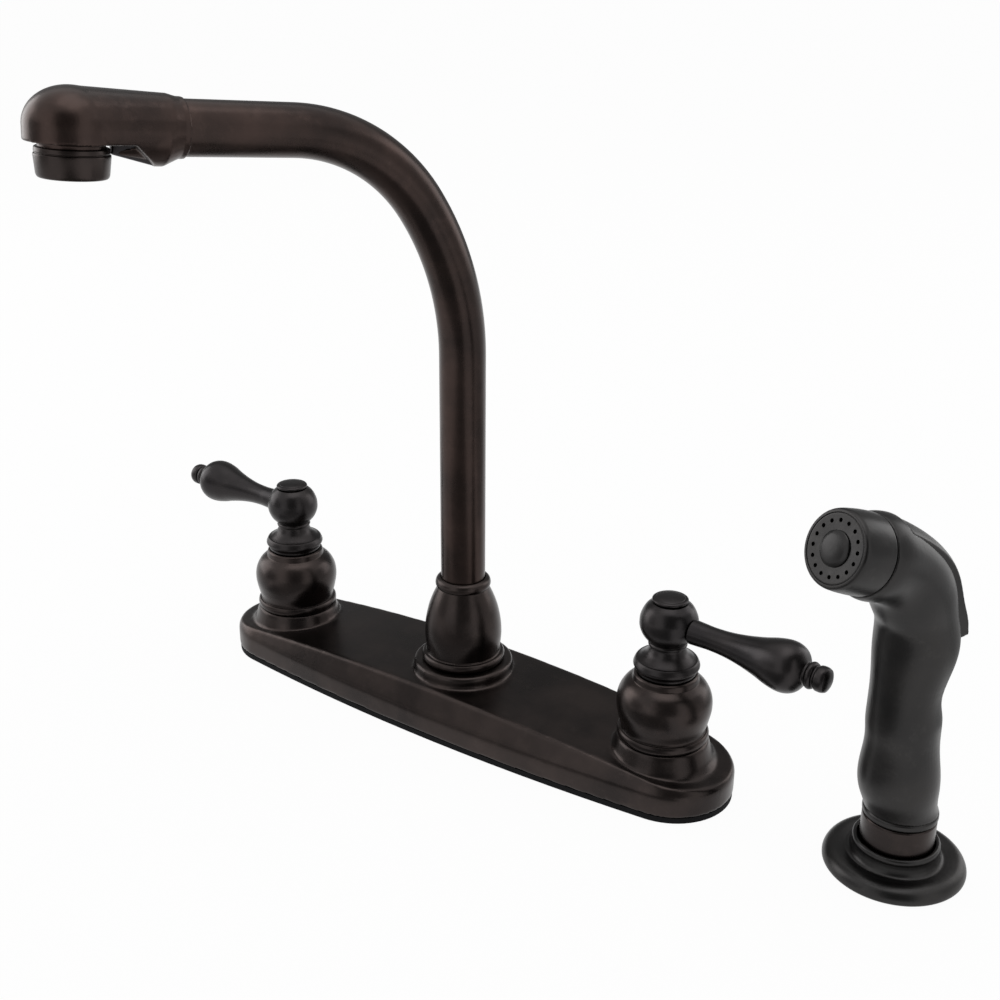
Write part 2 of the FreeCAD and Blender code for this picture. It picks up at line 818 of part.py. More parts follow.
def make_cartridge(side, x):
    """Brass headwork that screws into the barrel and holds the discs and the stem."""
    sleeve_bore = size.disc_radius + 2 * size.running_fit
    sleeve_radius = sleeve_bore + size.cartridge_sleeve_wall
    thread_radius = size.barrel_bore - size.thread_fit
    thread_low = flange_high + 0.5
    hex_low = size.barrel_top + size.face_gap
    hex_high = hex_low + size.cartridge_hex_height
    stem_bore = size.stem_radius + size.running_fit
    body = turned(
        f"{side}_cartridge_turning",
        (sleeve_bore, disc_low + 0.5),
        [
            (sleeve_radius, disc_low + 0.5),
            (sleeve_radius, thread_low),
            (thread_radius, thread_low + 0.5),
            (thread_radius, hex_high),
            (size.cartridge_neck_radius, hex_high),
            (size.cartridge_neck_radius, size.cartridge_top),
            (stem_bore, size.cartridge_top),
            (stem_bore, flange_high + size.running_fit),
            (sleeve_bore, flange_high + size.running_fit),
        ],
        (x, 0, 0),
    )
    hexagon = prism(f"{side}_cartridge_hex", 6, size.cartridge_hex, hex_low, hex_high, x)
    hex_bore = cylinder(f"{side}_cartridge_hex_bore", size.barrel_bore - 1, hex_low - 1, hex_high + 1, x)
    hex_ring = cut(f"{side}_cartridge_hex_ring", hexagon, hex_bore)
    window = box(
        f"{side}_cartridge_window",
        (x - size.disc_port_offset, -(size.barrel_bore + 1), disc_middle + size.face_gap),
        (x + size.disc_port_offset, size.barrel_bore + 1, disc_high - size.face_gap),
    )
    keep(f"{side}_cartridge", cut(f"{side}_cartridge_slotted", fused(f"{side}_cartridge_solid", body, hex_ring), window))


def make_stem(side, x):
    """Valve stem: a flange on the moving disc, a sealed shaft, and a square for the handle."""
    groove_half = size.oring_thickness / 2 + size.running_fit
    groove_radius = size.stem_radius - size.oring_thickness
    clip_low = size.cartridge_top + size.loose_fit / 2
    clip_high = clip_low + size.clip_thickness + 2 * size.face_gap
    clip_groove = size.stem_square / 2 + size.face_gap
    shaft = turned(
        f"{side}_stem_turning",
        (0, flange_low),
        [
            (size.stem_flange_radius, flange_low),
            (size.stem_flange_radius, flange_high),
            (size.stem_radius, flange_high),
            (size.stem_radius, size.oring_height - groove_half),
            (groove_radius, size.oring_height - groove_half),
            (groove_radius, size.oring_height + groove_half),
            (size.stem_radius, size.oring_height + groove_half),
            (size.stem_radius, clip_low),
            (clip_groove, clip_low),
            (clip_groove, clip_high),
            (0, clip_high),
        ],
        (x, 0, 0),
    )
    square = prism(f"{side}_stem_square", 4, size.stem_square, clip_high, size.stem_top, x, 0, 45)
    hole = cylinder(
        f"{side}_stem_hole", size.screw_radius + size.thread_fit,
        size.screw_seat_height - size.screw_length - 1, size.stem_top + 1, x,
    )
    keep(f"{side}_stem", cut(f"{side}_stem_bored", fused(f"{side}_stem_solid", shaft, square), hole))
    torus = document.addObject("Part::Torus", f"{side}_oring_torus")
    section = size.oring_thickness / 2 - size.face_gap
    bind(torus, "Radius1", groove_radius + size.oring_thickness / 2)
    bind(torus, "Radius2", section)
    keep(f"{side}_stem_oring", place(torus, (x, 0, size.oring_height)))
    clip = ring(
        f"{side}_clip_ring", clip_groove + size.face_gap, size.clip_radius,
        clip_low + size.face_gap, clip_high - size.face_gap, (x, 0, 0),
    )
    mouth = box(
        f"{side}_clip_mouth",
        (x - clip_groove, 0, clip_low - 1),
        (x + clip_groove, size.clip_radius + 1, clip_high + 1),
    )
    keep(f"{side}_stem_clip", cut(f"{side}_clip_open", clip, mouth))


def make_bonnet(side, x):
    """Bell shaped cover: a rounded foot, a belly, and a collar under the handle."""
    bore = size.barrel_radius + size.thread_fit
    foot_low = size.side_boss_height
    foot_high = foot_low + size.bonnet_foot_height
    foot_edge = size.bonnet_foot_radius - 0.9
    belly = (size.bonnet_belly_radius, size.bonnet_belly_height)
    waist = (size.bonnet_waist_radius, size.bonnet_waist_height)
    collar = (size.bonnet_collar_radius, size.bonnet_collar_height)
    inner_radius = size.bonnet_belly_radius - size.bonnet_wall
    body = turned(
        f"{side}_bonnet_turning",
        (bore, foot_low),
        [
            (foot_edge, foot_low),
            ((size.bonnet_foot_radius, foot_low + size.bonnet_foot_height / 2), (foot_edge, foot_high)),
            waist,
            (swell(*belly, *waist), belly),
            (swell(*belly, *collar), collar),
            (size.bonnet_collar_radius, size.bonnet_top - 0.6),
            (size.bonnet_collar_radius - 0.6, size.bonnet_top),
            (size.bonnet_hole_radius, size.bonnet_top),
            (size.bonnet_hole_radius, size.bonnet_collar_height - size.bonnet_wall),
            (inner_radius - 1.2, size.bonnet_belly_height + 5.0),
            (inner_radius, size.bonnet_belly_height),
            (bore, size.barrel_top - 0.5),
        ],
        (x, 0, 0),
    )
    keep(f"{side}_bonnet", body)


def make_valve(side, sign):
    x = half_spacing * sign
    make_valve_body(side, x, sign)
    make_cross_pipe(side, sign)
    seal = ring(
        f"{side}_seal_ring", size.riser_bore + 0.1, size.riser_radius - 0.1,
        size.riser_top, size.riser_top + size.seal_thickness, (x, 0, 0),
    )
    keep(f"{side}_seat_seal", seal)
    make_disc(f"{side}_fixed_disc", x, disc_low, True)
    make_disc(f"{side}_moving_disc", x, disc_middle + size.face_gap, False)
    make_cartridge(side, x)
    make_stem(side, x)
    make_bonnet(side, x)


# ---------------------------------------------------------------- lever handles


def lever_place(item, side, x, sign, reach):
    """Places an item on a lever's axis: it points outward, turned a little clockwise from above."""
    angle = getattr(size, f"{side}_lever_turn")
    turn = Rotation(Vector(0, 0, 1), -angle.value) * Rotation(Vector(0, 1, 0), 90 * sign)
    reach = size_of(reach) * sign
    return place(item, (x + reach * cosine(angle), -(reach * sine(angle)), size.lever_height), turn)


def make_hub(side, x, sign):
    """Handle hub: beaded skirt, neck and ball, with a square socket and a screw seat."""
    neck_low = (size.neck_radius + 0.4, size.neck_height - 1.4)
    ball_foot_radius = size.neck_radius + 0.35
    ball_foot = size.ball_height - root(
        size.ball_radius * size.ball_radius - ball_foot_radius * ball_foot_radius
    )
    counterbore = size.screw_head_radius + 2 * size.loose_fit
    screw_hole = size.screw_radius + size.loose_fit
    recess = size.skirt_radius - 1.1
    recess_top = skirt_bottom + 2.4
    skirt_top_radius = size.skirt_bead_radius - 0.9
    body = turned(
        f"{side}_hub_turning",
        (recess, skirt_bottom),
        [
            (size.skirt_radius, skirt_bottom),
            ((size.skirt_bead_radius, size.skirt_bead_height), (skirt_top_radius, size.skirt_top_height)),
            ((size.neck_radius + 2.5, size.skirt_top_height + 2.3), neck_low),
            (size.neck_radius, size.neck_height),
            (ball_foot_radius, ball_foot),
            ((size.ball_radius, size.ball_height), (size.cap_radius, cap_seat)),
            (counterbore, cap_seat),
            (counterbore, size.screw_seat_height),
            (screw_hole, size.screw_seat_height),
            (screw_hole, recess_top),
            (recess, recess_top),
        ],
        (x, 0, 0),
    )
    socket = prism(
        f"{side}_hub_socket", 4, size.stem_square + 2 * size.face_gap, recess_top - 1,
        size.stem_top + 0.5, x, 0, 45,
    )
    seat = cylinder(f"{side}_lever_seat", size.lever_root_radius + size.thread_fit, 0, size.ball_radius)
    lever_place(seat, side, x, sign, size.lever_root_reach - size.face_gap)
    thread = cylinder(f"{side}_lever_thread", size.lever_spigot_radius + size.thread_fit, 0, size.ball_radius)
    lever_place(thread, side, x, sign, counterbore + 0.8)
    keep(f"{side}_lever_hub", cut(f"{side}_hub_drilled", body, socket, seat, thread))


def make_lever(side, x, sign):
    """Turned lever: a threaded spigot, a slim waist, a swelling and a ringed finial."""
    spigot_start = size.screw_head_radius + 2 * size.loose_fit + 1.0
    waist = (size.lever_waist_radius, size.lever_waist_reach)
    swelling = (size.lever_swell_radius, size.lever_swell_reach)
    neck = (size.lever_neck_radius, size.lever_neck_reach)
    rise_middle = (
        size.lever_waist_radius + 0.36 * (size.lever_swell_radius - size.lever_waist_radius),
        size.lever_waist_reach + 0.56 * (size.lever_swell_reach - size.lever_waist_reach),
    )
    ring_low = size.lever_neck_reach + 1.2
    ring_high = ring_low + size.finial_ring_width
    ring_edge = size.finial_ring_radius - 0.7
    knob_low = ring_high + 0.7
    knob_high = size.lever_length - 1.8
    lever = turned(
        f"{side}_lever_turning",
        (0, spigot_start),
        [
            (size.lever_spigot_radius, spigot_start),
            (size.lever_spigot_radius, size.lever_root_reach),
            (size.lever_root_radius, size.lever_root_reach),
            (size.lever_root_radius, size.lever_root_reach + 4),
            waist,
            ((rise_middle[0] - 0.35, rise_middle[1]),
             (size.lever_swell_radius - 1.0, size.lever_swell_reach - 6.2)),
            (swell(*swelling, size.lever_swell_radius - 1.0, size.lever_swell_reach - 6.2), swelling),
            (swell(*swelling, *neck), neck),
            (size.lever_neck_radius, ring_low),
            (ring_edge, ring_low),
            ((size.finial_ring_radius, ring_low + size.finial_ring_width / 2), (ring_edge, ring_high)),
            (size.lever_neck_radius, ring_high),
            (size.lever_neck_radius, knob_low),
            (size.finial_knob_radius, knob_low + 0.4),
            (size.finial_knob_radius, knob_high),
            crowned(size.finial_knob_radius, knob_high, size.lever_length),
        ],
    )
    keep(f"{side}_lever", lever_place(lever, side, x, sign, 0))


def make_handle(side, sign):
    x = half_spacing * sign
    make_hub(side, x, sign)
    make_lever(side, x, sign)
    plug = size.screw_head_radius + 2 * size.loose_fit - 0.1
    cap_low = cap_seat + size.face_gap
    edge_high = cap_low + size.cap_edge_height
    cap = turned(
        f"{side}_cap_turning",
        (0, cap_low - size.cap_plug_length),
        [
            (plug, cap_low - size.cap_plug_length),
            (plug, cap_low),
            (size.cap_radius, cap_low),
            (size.cap_radius, edge_high - 0.4),
            (size.cap_radius - 0.5, edge_high),
            crowned(size.cap_radius - 0.5, edge_high, edge_high + size.cap_dome),
        ],
        (x, 0, 0),
    )
    keep(f"{side}_handle_cap", cap)
    head_low = size.screw_seat_height
    head_high = head_low + size.screw_head_height
    screw = turned(
        f"{side}_screw_turning",
        (0, head_low - size.screw_length),
        [
            (size.screw_radius, head_low - size.screw_length),
            (size.screw_radius, head_low),
            (size.screw_head_radius, head_low),
            (size.screw_head_radius, head_high),
            (0, head_high),
        ],
        (x, 0, 0),
    )
    drive = prism(f"{side}_screw_socket", 6, size.screw_socket, head_high - 1.8, head_high + 1, x)
    keep(f"{side}_handle_screw", cut(f"{side}_screw_driven", screw, drive))


# ---------------------------------------------------------------- spout post and diverter


def make_post():
    """Brass post: it collects hot and cold water, holds the diverter and carries the spout."""
    shoulder_low = centre_shelf - size.shoulder_thickness
    chamber_low = size.pipe_height - size.pipe_radius - size.thread_fit - 0.6
    ledge_high = size.diverter_ledge_height + size.diverter_ledge_thickness
    body = turned(
        "post_turning",
        (size.outlet_bore, -size.post_tail_length),
        [
            (size.post_tail_radius, -size.post_tail_length),
            (size.post_tail_radius, size.chest_clearance),
            (size.post_chest_radius, size.chest_clearance),
            (size.post_chest_radius, shoulder_low),
            (size.post_shoulder_radius, shoulder_low),
            (size.post_shoulder_radius, centre_shelf),
            (size.post_barrel_radius, centre_shelf),
            (size.post_barrel_radius, size.post_barrel_top),
            (size.post_neck_radius, size.post_barrel_top + 1.5),
            (size.post_neck_radius, size.post_top),
            (size.post_bore, size.post_top),
            (size.post_bore, size.post_bore_floor),
            (size.chamber_radius, size.post_bore_floor),
            (size.chamber_radius, ledge_high),
            (size.diverter_ledge_bore, ledge_high),
            (size.diverter_ledge_bore, size.diverter_ledge_height),
            (size.chamber_radius, size.diverter_ledge_height),
            (size.chamber_radius, chamber_low),
            (size.outlet_bore, chamber_low),
        ],
    )
    ports = []
    for side, sign in sides.items():
        port = cylinder(f"{side}_post_port", size.pipe_radius + size.thread_fit, 0, size.post_chest_radius)
        turn = Rotation(Vector(0, 1, 0), 90 * sign)
        ports.append(place(port, ((size.chamber_radius - 1) * sign, 0, size.pipe_height), turn))
    keep("spout_post", cut("post_drilled", body, *ports))


def make_diverter():
    ledge_high = size.diverter_ledge_height + size.diverter_ledge_thickness
    seal_low = ledge_high + size.face_gap
    disc_bottom = seal_low + size.diverter_seal_height + size.face_gap
    disc_top = disc_bottom + size.diverter_disc_height
    stem_low = size.pipe_height - size.pipe_radius + 1
    piston = turned(
        "diverter_turning",
        (0, stem_low),
        [
            (size.diverter_stem_radius, stem_low),
            (size.diverter_stem_radius, disc_bottom),
            (size.diverter_radius, disc_bottom),
            (size.diverter_radius, disc_top),
            (0, disc_top),
        ],
    )
    keep("diverter_piston", piston)
    seal = ring(
        "diverter_seal_ring", size.diverter_stem_radius + size.face_gap, size.diverter_radius - 0.2,
        seal_low, seal_low + size.diverter_seal_height,
    )
    keep("diverter_seal", seal)
    cage_low = disc_top + size.diverter_travel + size.loose_fit
    cage_high = cage_low + size.cage_thickness
    cage = cylinder("cage_blank", size.chamber_radius - size.thread_fit, cage_low, cage_high)
    hole_circle = size.chamber_radius / 2 + size.cage_hole_radius / 2
    holes = []
    for step in range(6):
        angle = math.radians(60 * step)
        holes.append(
            cylinder("cage_hole", size.cage_hole_radius, cage_low - 1, cage_high + 1,
                     hole_circle * math.cos(angle), hole_circle * math.sin(angle))
        )
    keep("diverter_cage", cut("cage_bored", cage, *holes))


def make_hose_nipple():
    """Brass nipple at the foot of the post, where the spray hose screws on."""
    hex_high = -size.post_tail_length - size.face_gap
    hex_low = hex_high - size.nipple_hex_height
    nipple = turned(
        "nipple_turning",
        (size.nipple_bore, hex_low - size.nipple_length),
        [
            (size.nipple_radius, hex_low - size.nipple_length),
            (size.nipple_radius, hex_high),
            (size.outlet_bore - size.thread_fit, hex_high),
            (size.outlet_bore - size.thread_fit, -2.0),
            (size.nipple_bore, -2.0),
        ],
    )
    hexagon = prism("nipple_hex_blank", 6, size.nipple_hex, hex_low, hex_high)
    hex_bore = cylinder("nipple_hex_bore", size.nipple_bore + 0.5, hex_low - 1, hex_high + 1)
    hex_ring = cut("nipple_hex_ring", hexagon, hex_bore)
    keep("hose_nipple", fused("nipple_solid", nipple, hex_ring))


# ---------------------------------------------------------------- spout


def make_hub_nut():
    """Decorative hub nut: it screws on the post and holds the spout's collar down."""
    thread = size.post_barrel_radius + size.thread_fit
    cavity = size.post_neck_radius + size.loose_fit
    lip = size.tube_radius + 0.22
    foot_low = size.centre_boss_height
    foot_high = foot_low + size.hub_foot_height
    foot_edge = size.hub_foot_radius - 0.9
    belly = (size.hub_belly_radius, size.hub_belly_height)
    waist = (size.hub_waist_radius, foot_high + 0.5)
    neck = (size.hub_neck_radius, size.hub_neck_height)
    bead_low = size.hub_neck_height + 0.4
    bead_high = bead_low + size.hub_bead_height
    body = turned(
        "hub_nut_turning",
        (thread, foot_low),
        [
            (foot_edge, foot_low),
            ((size.hub_foot_radius, foot_low + size.hub_foot_height / 2), (foot_edge, foot_high)),
            waist,
            (swell(*belly, *waist), belly),
            (swell(*belly, *neck), neck),
            (size.hub_neck_radius - 0.3, bead_low),
            ((size.hub_bead_radius, (bead_low + bead_high) / 2), (size.hub_neck_radius - 0.5, bead_high)),
            (lip + 0.5, size.hub_top),
            (lip, size.hub_top),
            (lip, size.hub_shoulder_height),
            (cavity, size.hub_shoulder_height),
            (cavity, size.post_barrel_top + 2),
            (thread, size.post_barrel_top + 0.5),
        ],
    )
    keep("spout_hub", body)
    collar_top = size.post_top + size.face_gap + size.swivel_collar_height
    friction = ring(
        "friction_ring_turning", lip + 0.1, size.swivel_collar_radius,
        collar_top + size.face_gap, size.hub_shoulder_height - size.face_gap,
    )
    keep("spout_friction_ring", friction)


def spout_turn():
    return Rotation(Vector(0, 0, 1), -90 - SIZES["spout_swing"])


def make_swivel():
    """Brass end of the spout: it turns in the post on two O-rings and is brazed into the tube."""
    outer = size.post_bore - size.running_fit
    groove = outer - size.swivel_oring_thickness
    collar_low = size.post_top + size.face_gap
    collar_high = collar_low + size.swivel_collar_height
    spigot = size.tube_radius - size.tube_wall - size.thread_fit
    half = size.swivel_oring_thickness / 2 + size.running_fit
    bottom = size.post_bore_floor + 0.5
    moves = [(outer, bottom)]
    for step in (0, 1):
        middle = size.swivel_oring_low + size.swivel_oring_step * step
        moves += [(outer, middle - half), (groove, middle - half), (groove, middle + half), (outer, middle + half)]
    moves += [
        (outer, collar_low),
        (size.swivel_collar_radius, collar_low),
        (size.swivel_collar_radius, collar_high),
        (spigot, collar_high),
        (spigot, collar_high + size.swivel_spigot_length),
        (size.swivel_bore, collar_high + size.swivel_spigot_length),
    ]
    keep("spout_swivel", turned("swivel_turning", (size.swivel_bore, bottom), moves))
    rings = []
    for step in (0, 1):
        torus = document.addObject("Part::Torus", f"swivel_oring_{step}")
        bind(torus, "Radius1", groove + size.swivel_oring_thickness / 2)
        bind(torus, "Radius2", size.swivel_oring_thickness / 2 - size.face_gap)
        rings.append(place(torus, (0, 0, size.swivel_oring_low + size.swivel_oring_step * step)))
    pair = document.addObject("Part::Compound", "swivel_oring_pair")
    pair.Links = rings
    keep("swivel_orings", pair)


def tube_route():
    """Corner points of the tube's route above its seat, in the plane of the spout."""
    seat = size.post_top + size.face_gap + size.swivel_collar_height
    first, second = size.tube_first_angle, size.tube_first_angle + size.tube_second_angle
    half_first = first / 2
    half_second = first + size.tube_second_angle / 2
    rise = size.tube_bend_start - seat

    def after_first(angle):
        return (
            size.tube_first_radius * (1 - cosine(angle)),
            rise + size.tube_first_radius * sine(angle),
        )

    bend_x, bend_z = after_first(first)

    def after_second(angle):
        return (
            bend_x + size.tube_second_radius * (cosine(first) - cosine(angle)),
            bend_z + size.tube_second_radius * (sine(angle) - sine(first)),
        )

    turn_x, turn_z = after_second(second)
    arm_x = turn_x + size.tube_arm_length * sine(second)
    arm_z = turn_z + size.tube_arm_length * cosine(second)
    end_x = arm_x + size.tube_insertion * sine(second)
    end_z = arm_z + size.tube_insertion * cosine(second)
    return SimpleNamespace(
        seat=seat, rise=rise, first_half=after_first(half_first), first_end=(bend_x, bend_z),
        second_half=after_second(half_second), second_end=(turn_x, turn_z),
        arm_end=(arm_x, arm_z), tube_end=(end_x, end_z),
    )


def make_tube(route):
    body = new_body("tube_body")
    path = new_sketch(body, "tube_path")
    draw(
        path,
        (0, 0),
        [
            (0, route.rise),
            (route.first_half, route.first_end),
            (route.second_half, route.second_end),
            route.tube_end,
        ],
        closed=False,
    )
    section = new_sketch(body, "tube_section", "XY_Plane")
    for radius in (size.tube_radius, size.tube_radius - size.tube_wall):
        circle = section.addGeometry(Part.Circle(Vector(0, 0, 0), Vector(0, 0, 1), radius.value), False)
        section.addConstraint(Sketcher.Constraint("Coincident", circle, 3, -1, 1))
        index = section.addConstraint(Sketcher.Constraint("Radius", circle, radius.value))
        section.setExpression(f"Constraints[{index}]", radius.text)
    pipe = body.newObject("PartDesign::AdditivePipe", "tube_pipe")
    pipe.Profile = section
    pipe.Spine = (path, [])
    keep("spout_tube", place(body, (0, 0, route.seat), spout_turn()))


def head_place(item, route, reach, drop=0):
    """Places an item of the spout head, drawn with the arm along X and the outlet down."""
    lean = size.tube_first_angle + size.tube_second_angle
    swing = 90 + size.spout_swing
    along = route.arm_end[0] + reach * sine(lean) + drop * cosine(lean)
    height = route.seat + route.arm_end[1] + reach * cosine(lean) - drop * sine(lean)
    turn = spout_turn() * Rotation(Vector(0, 1, 0), lean.value - 90)
    return place(item, (along * cosine(swing), -(along * sine(swing)), height), turn)


def make_head(route):
    """Cast spout head: a sleeve over the tube that widens to a domed block over the aerator."""
    outlet = size.head_outlet_reach
    start = document.addObject("Part::Circle", "head_sleeve_ring")
    bind(start, "Radius", size.head_sleeve_radius)
    place(start, (size.head_sleeve_reach, 0, 0), Rotation(Vector(0, 1, 0), 90))
    end = document.addObject("Part::Ellipse", "head_block_ring")
    bind(end, "MajorRadius", size.head_block_radius - size.head_blend)
    bind(end, "MinorRadius", size.head_dome_height - size.head_blend)
    place(end, (outlet, 0, 0), Rotation(Vector(0, 0, 1), 90) * Rotation(Vector(1, 0, 0), 90))
    loft = document.addObject("Part::Loft", "head_barrel")
    loft.Sections = [start, end]
    loft.Solid = True
    loft.Ruled = True
    mouth = turned(
        "head_mouth",
        (0, size.head_mouth_reach),
        [
            (size.head_sleeve_radius - 0.9, size.head_mouth_reach),
            (size.head_sleeve_radius - 0.9, size.head_lip_reach),
            (size.head_sleeve_radius, size.head_sleeve_reach),
            (0, size.head_sleeve_reach),
        ],
        (0, 0, 0),
        Rotation(Vector(0, 1, 0), 90),
    )
    dome = document.addObject("Part::Ellipsoid", "head_dome")
    bind(dome, "Radius1", size.head_dome_height)
    bind(dome, "Radius2", size.head_block_radius)
    bind(dome, "Radius3", size.head_block_radius)
    dome.Angle1 = 0
    place(dome, (outlet, 0, 0))
    block = cylinder("head_block", size.head_block_radius, -size.head_underside, 0, outlet)
    heel = document.addObject("Part::Loft", "head_heel")
    heel_rings = []
    for reach, radius, drop in (
        (size.head_lip_reach, size.head_sleeve_radius - 0.9, size_of(0)),
        (size.heel_reach, size.heel_radius, size.heel_drop),
        (size.heel_end_reach, size.heel_radius, size.heel_drop),
    ):
        ring = document.addObject("Part::Circle", "head_heel_ring")
        bind(ring, "Radius", radius)
        place(ring, (reach, 0, -drop), Rotation(Vector(0, 1, 0), 90))
        heel_rings.append(ring)
    heel.Sections = heel_rings
    heel.Solid = True
    heel.Ruled = True
    solid = fused("head_solid", loft, mouth, dome, block, heel)
    below = new_body("head_below")
    below_sketch = new_sketch(below, "head_below_outline")
    slope = (size.head_cut_top_reach - size.head_cut_low_reach) / (size.head_cut_depth - size.head_underside)
    depth = 2 * size.head_block_radius
    far = outlet + 2 * size.head_block_radius
    low_reach = size.head_cut_top_reach - slope * (depth - size.head_underside)
    draw(
        below_sketch,
        (size.head_cut_top_reach, -size.head_underside),
        [
            (low_reach, -depth),
            (far, -depth),
            (far, -size.head_underside),
            (size.head_cut_top_reach, -size.head_underside),
        ],
    )
    below_pad = below.newObject("PartDesign::Pad", "head_below_pad")
    below_pad.Profile = below_sketch
    bind(below_pad, "Length", 3 * size.head_block_radius)
    below_pad.Midplane = True
    trimmed = cut("head_trimmed", solid, below)
    bow = document.addObject("Part::Cone", "head_bow")
    bow_run = size.bow_end_reach - size.bow_start_reach
    bow_fall = size.bow_end_drop - size.bow_start_drop
    bind(bow, "Radius1", size.bow_start_radius)
    bind(bow, "Radius2", size.bow_end_radius)
    bind(bow, "Height", root(bow_run * bow_run + bow_fall * bow_fall))
    bow_lean = 90 + math.degrees(math.atan2(bow_fall.value, bow_run.value))
    place(bow, (size.bow_start_reach, 0, -size.bow_start_drop), Rotation(Vector(0, 1, 0), bow_lean))
    nozzle_low = -(size.head_underside + size.nozzle_length)
    nozzle = cylinder("head_nozzle", size.nozzle_thread_radius, nozzle_low, 0, outlet)
    along = Rotation(Vector(0, 1, 0), 90)
    socket = cylinder("head_socket", size.tube_radius + size.thread_fit, 0, size.tube_insertion + 0.5)
    place(socket, (0, 0, 0), along)
    passage = cylinder("head_passage", size.head_passage_radius, 0, outlet)
    place(passage, (0, 0, 0), along)
    drop_bore = cylinder("head_drop_bore", size.nozzle_bore, nozzle_low - 1, size.nozzle_bore / 3, outlet)
    head = cut("head_bored", fused("head_with_nozzle", trimmed, bow, nozzle), socket, passage, drop_bore)
    keep("spout_head", head_place(head, route, size_of(0)))


def make_aerator(route):
    """Aerator housing, its screen cup and its washer, drawn hanging down from the head's axis."""
    high = -(size.head_underside + size.aerator_gap)
    low = high - size.aerator_length
    thread = size.nozzle_thread_radius + size.thread_fit
    rim = size.aerator_rim_radius
    housing = turned(
        "aerator_turning",
        (thread, high),
        [
            (rim - 0.4, high),
            (rim, high - 0.4),
            (rim, high - 1.5),
            (rim - 0.3, high - 1.8),
            (rim, high - 2.2),
            (rim - 0.1, high - 6.0),
            ((size.aerator_tip_radius + 0.55, low + 1.2), (size.aerator_tip_radius - 0.4, low)),
            (size.aerator_mouth_radius, low),
            (size.aerator_mouth_radius, low + 1.2),
            (thread, low + 1.2),
        ],
    )
    keep("aerator_housing", head_place(housing, route, size.head_outlet_reach))
    nozzle_low = -(size.head_underside + size.nozzle_length)
    flange_radius = thread - size.thread_fit - 0.1
    washer_high = nozzle_low - size.face_gap
    washer_low = washer_high - size.aerator_washer_thickness
    washer = ring("aerator_washer_ring", size.nozzle_bore, flange_radius, washer_low, washer_high)
    keep("aerator_washer", head_place(washer, route, size.head_outlet_reach))
    cup_top = washer_low - size.face_gap
    cup_low = low + 1.2 + size.face_gap
    cup_radius = size.nozzle_bore - 0.5
    cup = turned(
        "aerator_cup",
        (0, cup_low),
        [
            (flange_radius, cup_low),
            (flange_radius, cup_top),
            (cup_radius, cup_top),
            (cup_radius, cup_top + size.aerator_cup_length),
            (cup_radius - 1.0, cup_top + size.aerator_cup_length),
            (cup_radius - 1.0, cup_top),
            (0, cup_top),
        ],
    )
    holes = [cylinder("aerator_hole", size.aerator_hole_radius, cup_low - 1, cup_top + 1)]
    for circle, count in ((1, 6), (2, 12), (3, 18)):
        distance = size.aerator_hole_radius * 3.3 * circle
        for step in range(count):
            angle = 2 * math.pi * step / count
            holes.append(
                cylinder("aerator_hole", size.aerator_hole_radius, cup_low - 1, cup_top + 1,
                         distance * math.cos(angle), distance * math.sin(angle))
            )
    keep("aerator_insert", head_place(cut("aerator_drilled", cup, *holes), route, size.head_outlet_reach))


# ---------------------------------------------------------------- under the deck


def make_fastenings():
    washers = []
    nuts = []
    washer_high = -size.deck_thickness
    washer_low = washer_high - size.washer_thickness
    nut_low = washer_low - size.locknut_height
    for side, sign in sides.items():
        x = half_spacing * sign
        bore = size.shank_radius + 0.4
        washers.append(ring(f"{side}_washer_ring", bore, size.washer_radius, washer_low, washer_high, (x, 0, 0)))
        nut = prism(f"{side}_nut_blank", 6, size.locknut_hex, nut_low, washer_low, x)
        thread = cylinder(f"{side}_nut_thread", size.shank_radius + size.thread_fit, nut_low - 1, washer_high, x)
        nuts.append(cut(f"{side}_nut", nut, thread))
    for label, items in (("shank_washers", washers), ("shank_locknuts", nuts)):
        group = document.addObject("Part::Compound", f"{label}_group")
        group.Links = items
        keep(label, group)


def make_holder():
    """Sprayer holder: a dished flange with a raised mouth, on a threaded shank."""
    mouth = size.wand_collar_radius + 0.45
    rim = size.holder_flange_radius
    rim_top = rim - 3.6
    ring_edge = (mouth + size.holder_ring_radius) / 2
    holder = turned(
        "holder_turning",
        (size.holder_bore, -size.holder_shank_length),
        [
            (size.holder_shank_radius, -size.holder_shank_length),
            (size.holder_shank_radius, 0),
            (rim - 0.6, 0),
            (rim, 0.8),
            ((rim - 0.75, 0.72 * size.holder_rim_height), (rim_top, size.holder_rim_height)),
            ((size.holder_valley_radius + 1.6, size.holder_valley_height),
             (size.holder_valley_radius - 1.0, size.holder_valley_height + 0.9)),
            (size.holder_ring_radius - 0.1, size.holder_ring_height - 3.2),
            ((size.holder_ring_radius + 0.25, size.holder_ring_height - 1.4),
             (ring_edge, size.holder_ring_height)),
            (mouth + 0.3, size.holder_ring_height - 0.2),
            (mouth, size.holder_ring_height - 1),
            (mouth, size.holder_seat_height),
            (size.holder_bore, size.holder_seat_height),
        ],
        (sprayer_x, sprayer_y, 0),
    )
    keep("sprayer_holder", holder)
    nut_high = -size.deck_thickness
    nut_low = nut_high - size.locknut_height
    nut = prism("holder_nut_blank", 8, 2 * size.holder_nut_radius, nut_low, nut_high, sprayer_x, sprayer_y)
    thread = cylinder(
        "holder_nut_thread", size.holder_shank_radius + size.thread_fit, nut_low - 1, nut_high + 1,
        sprayer_x, sprayer_y,
    )
    keep("holder_nut", cut("holder_nut_bored", nut, thread))


# ---------------------------------------------------------------- sprayer


def wand_turn():
    return Rotation(Vector(0, 0, 1), -90 - SIZES["sprayer_turn"])


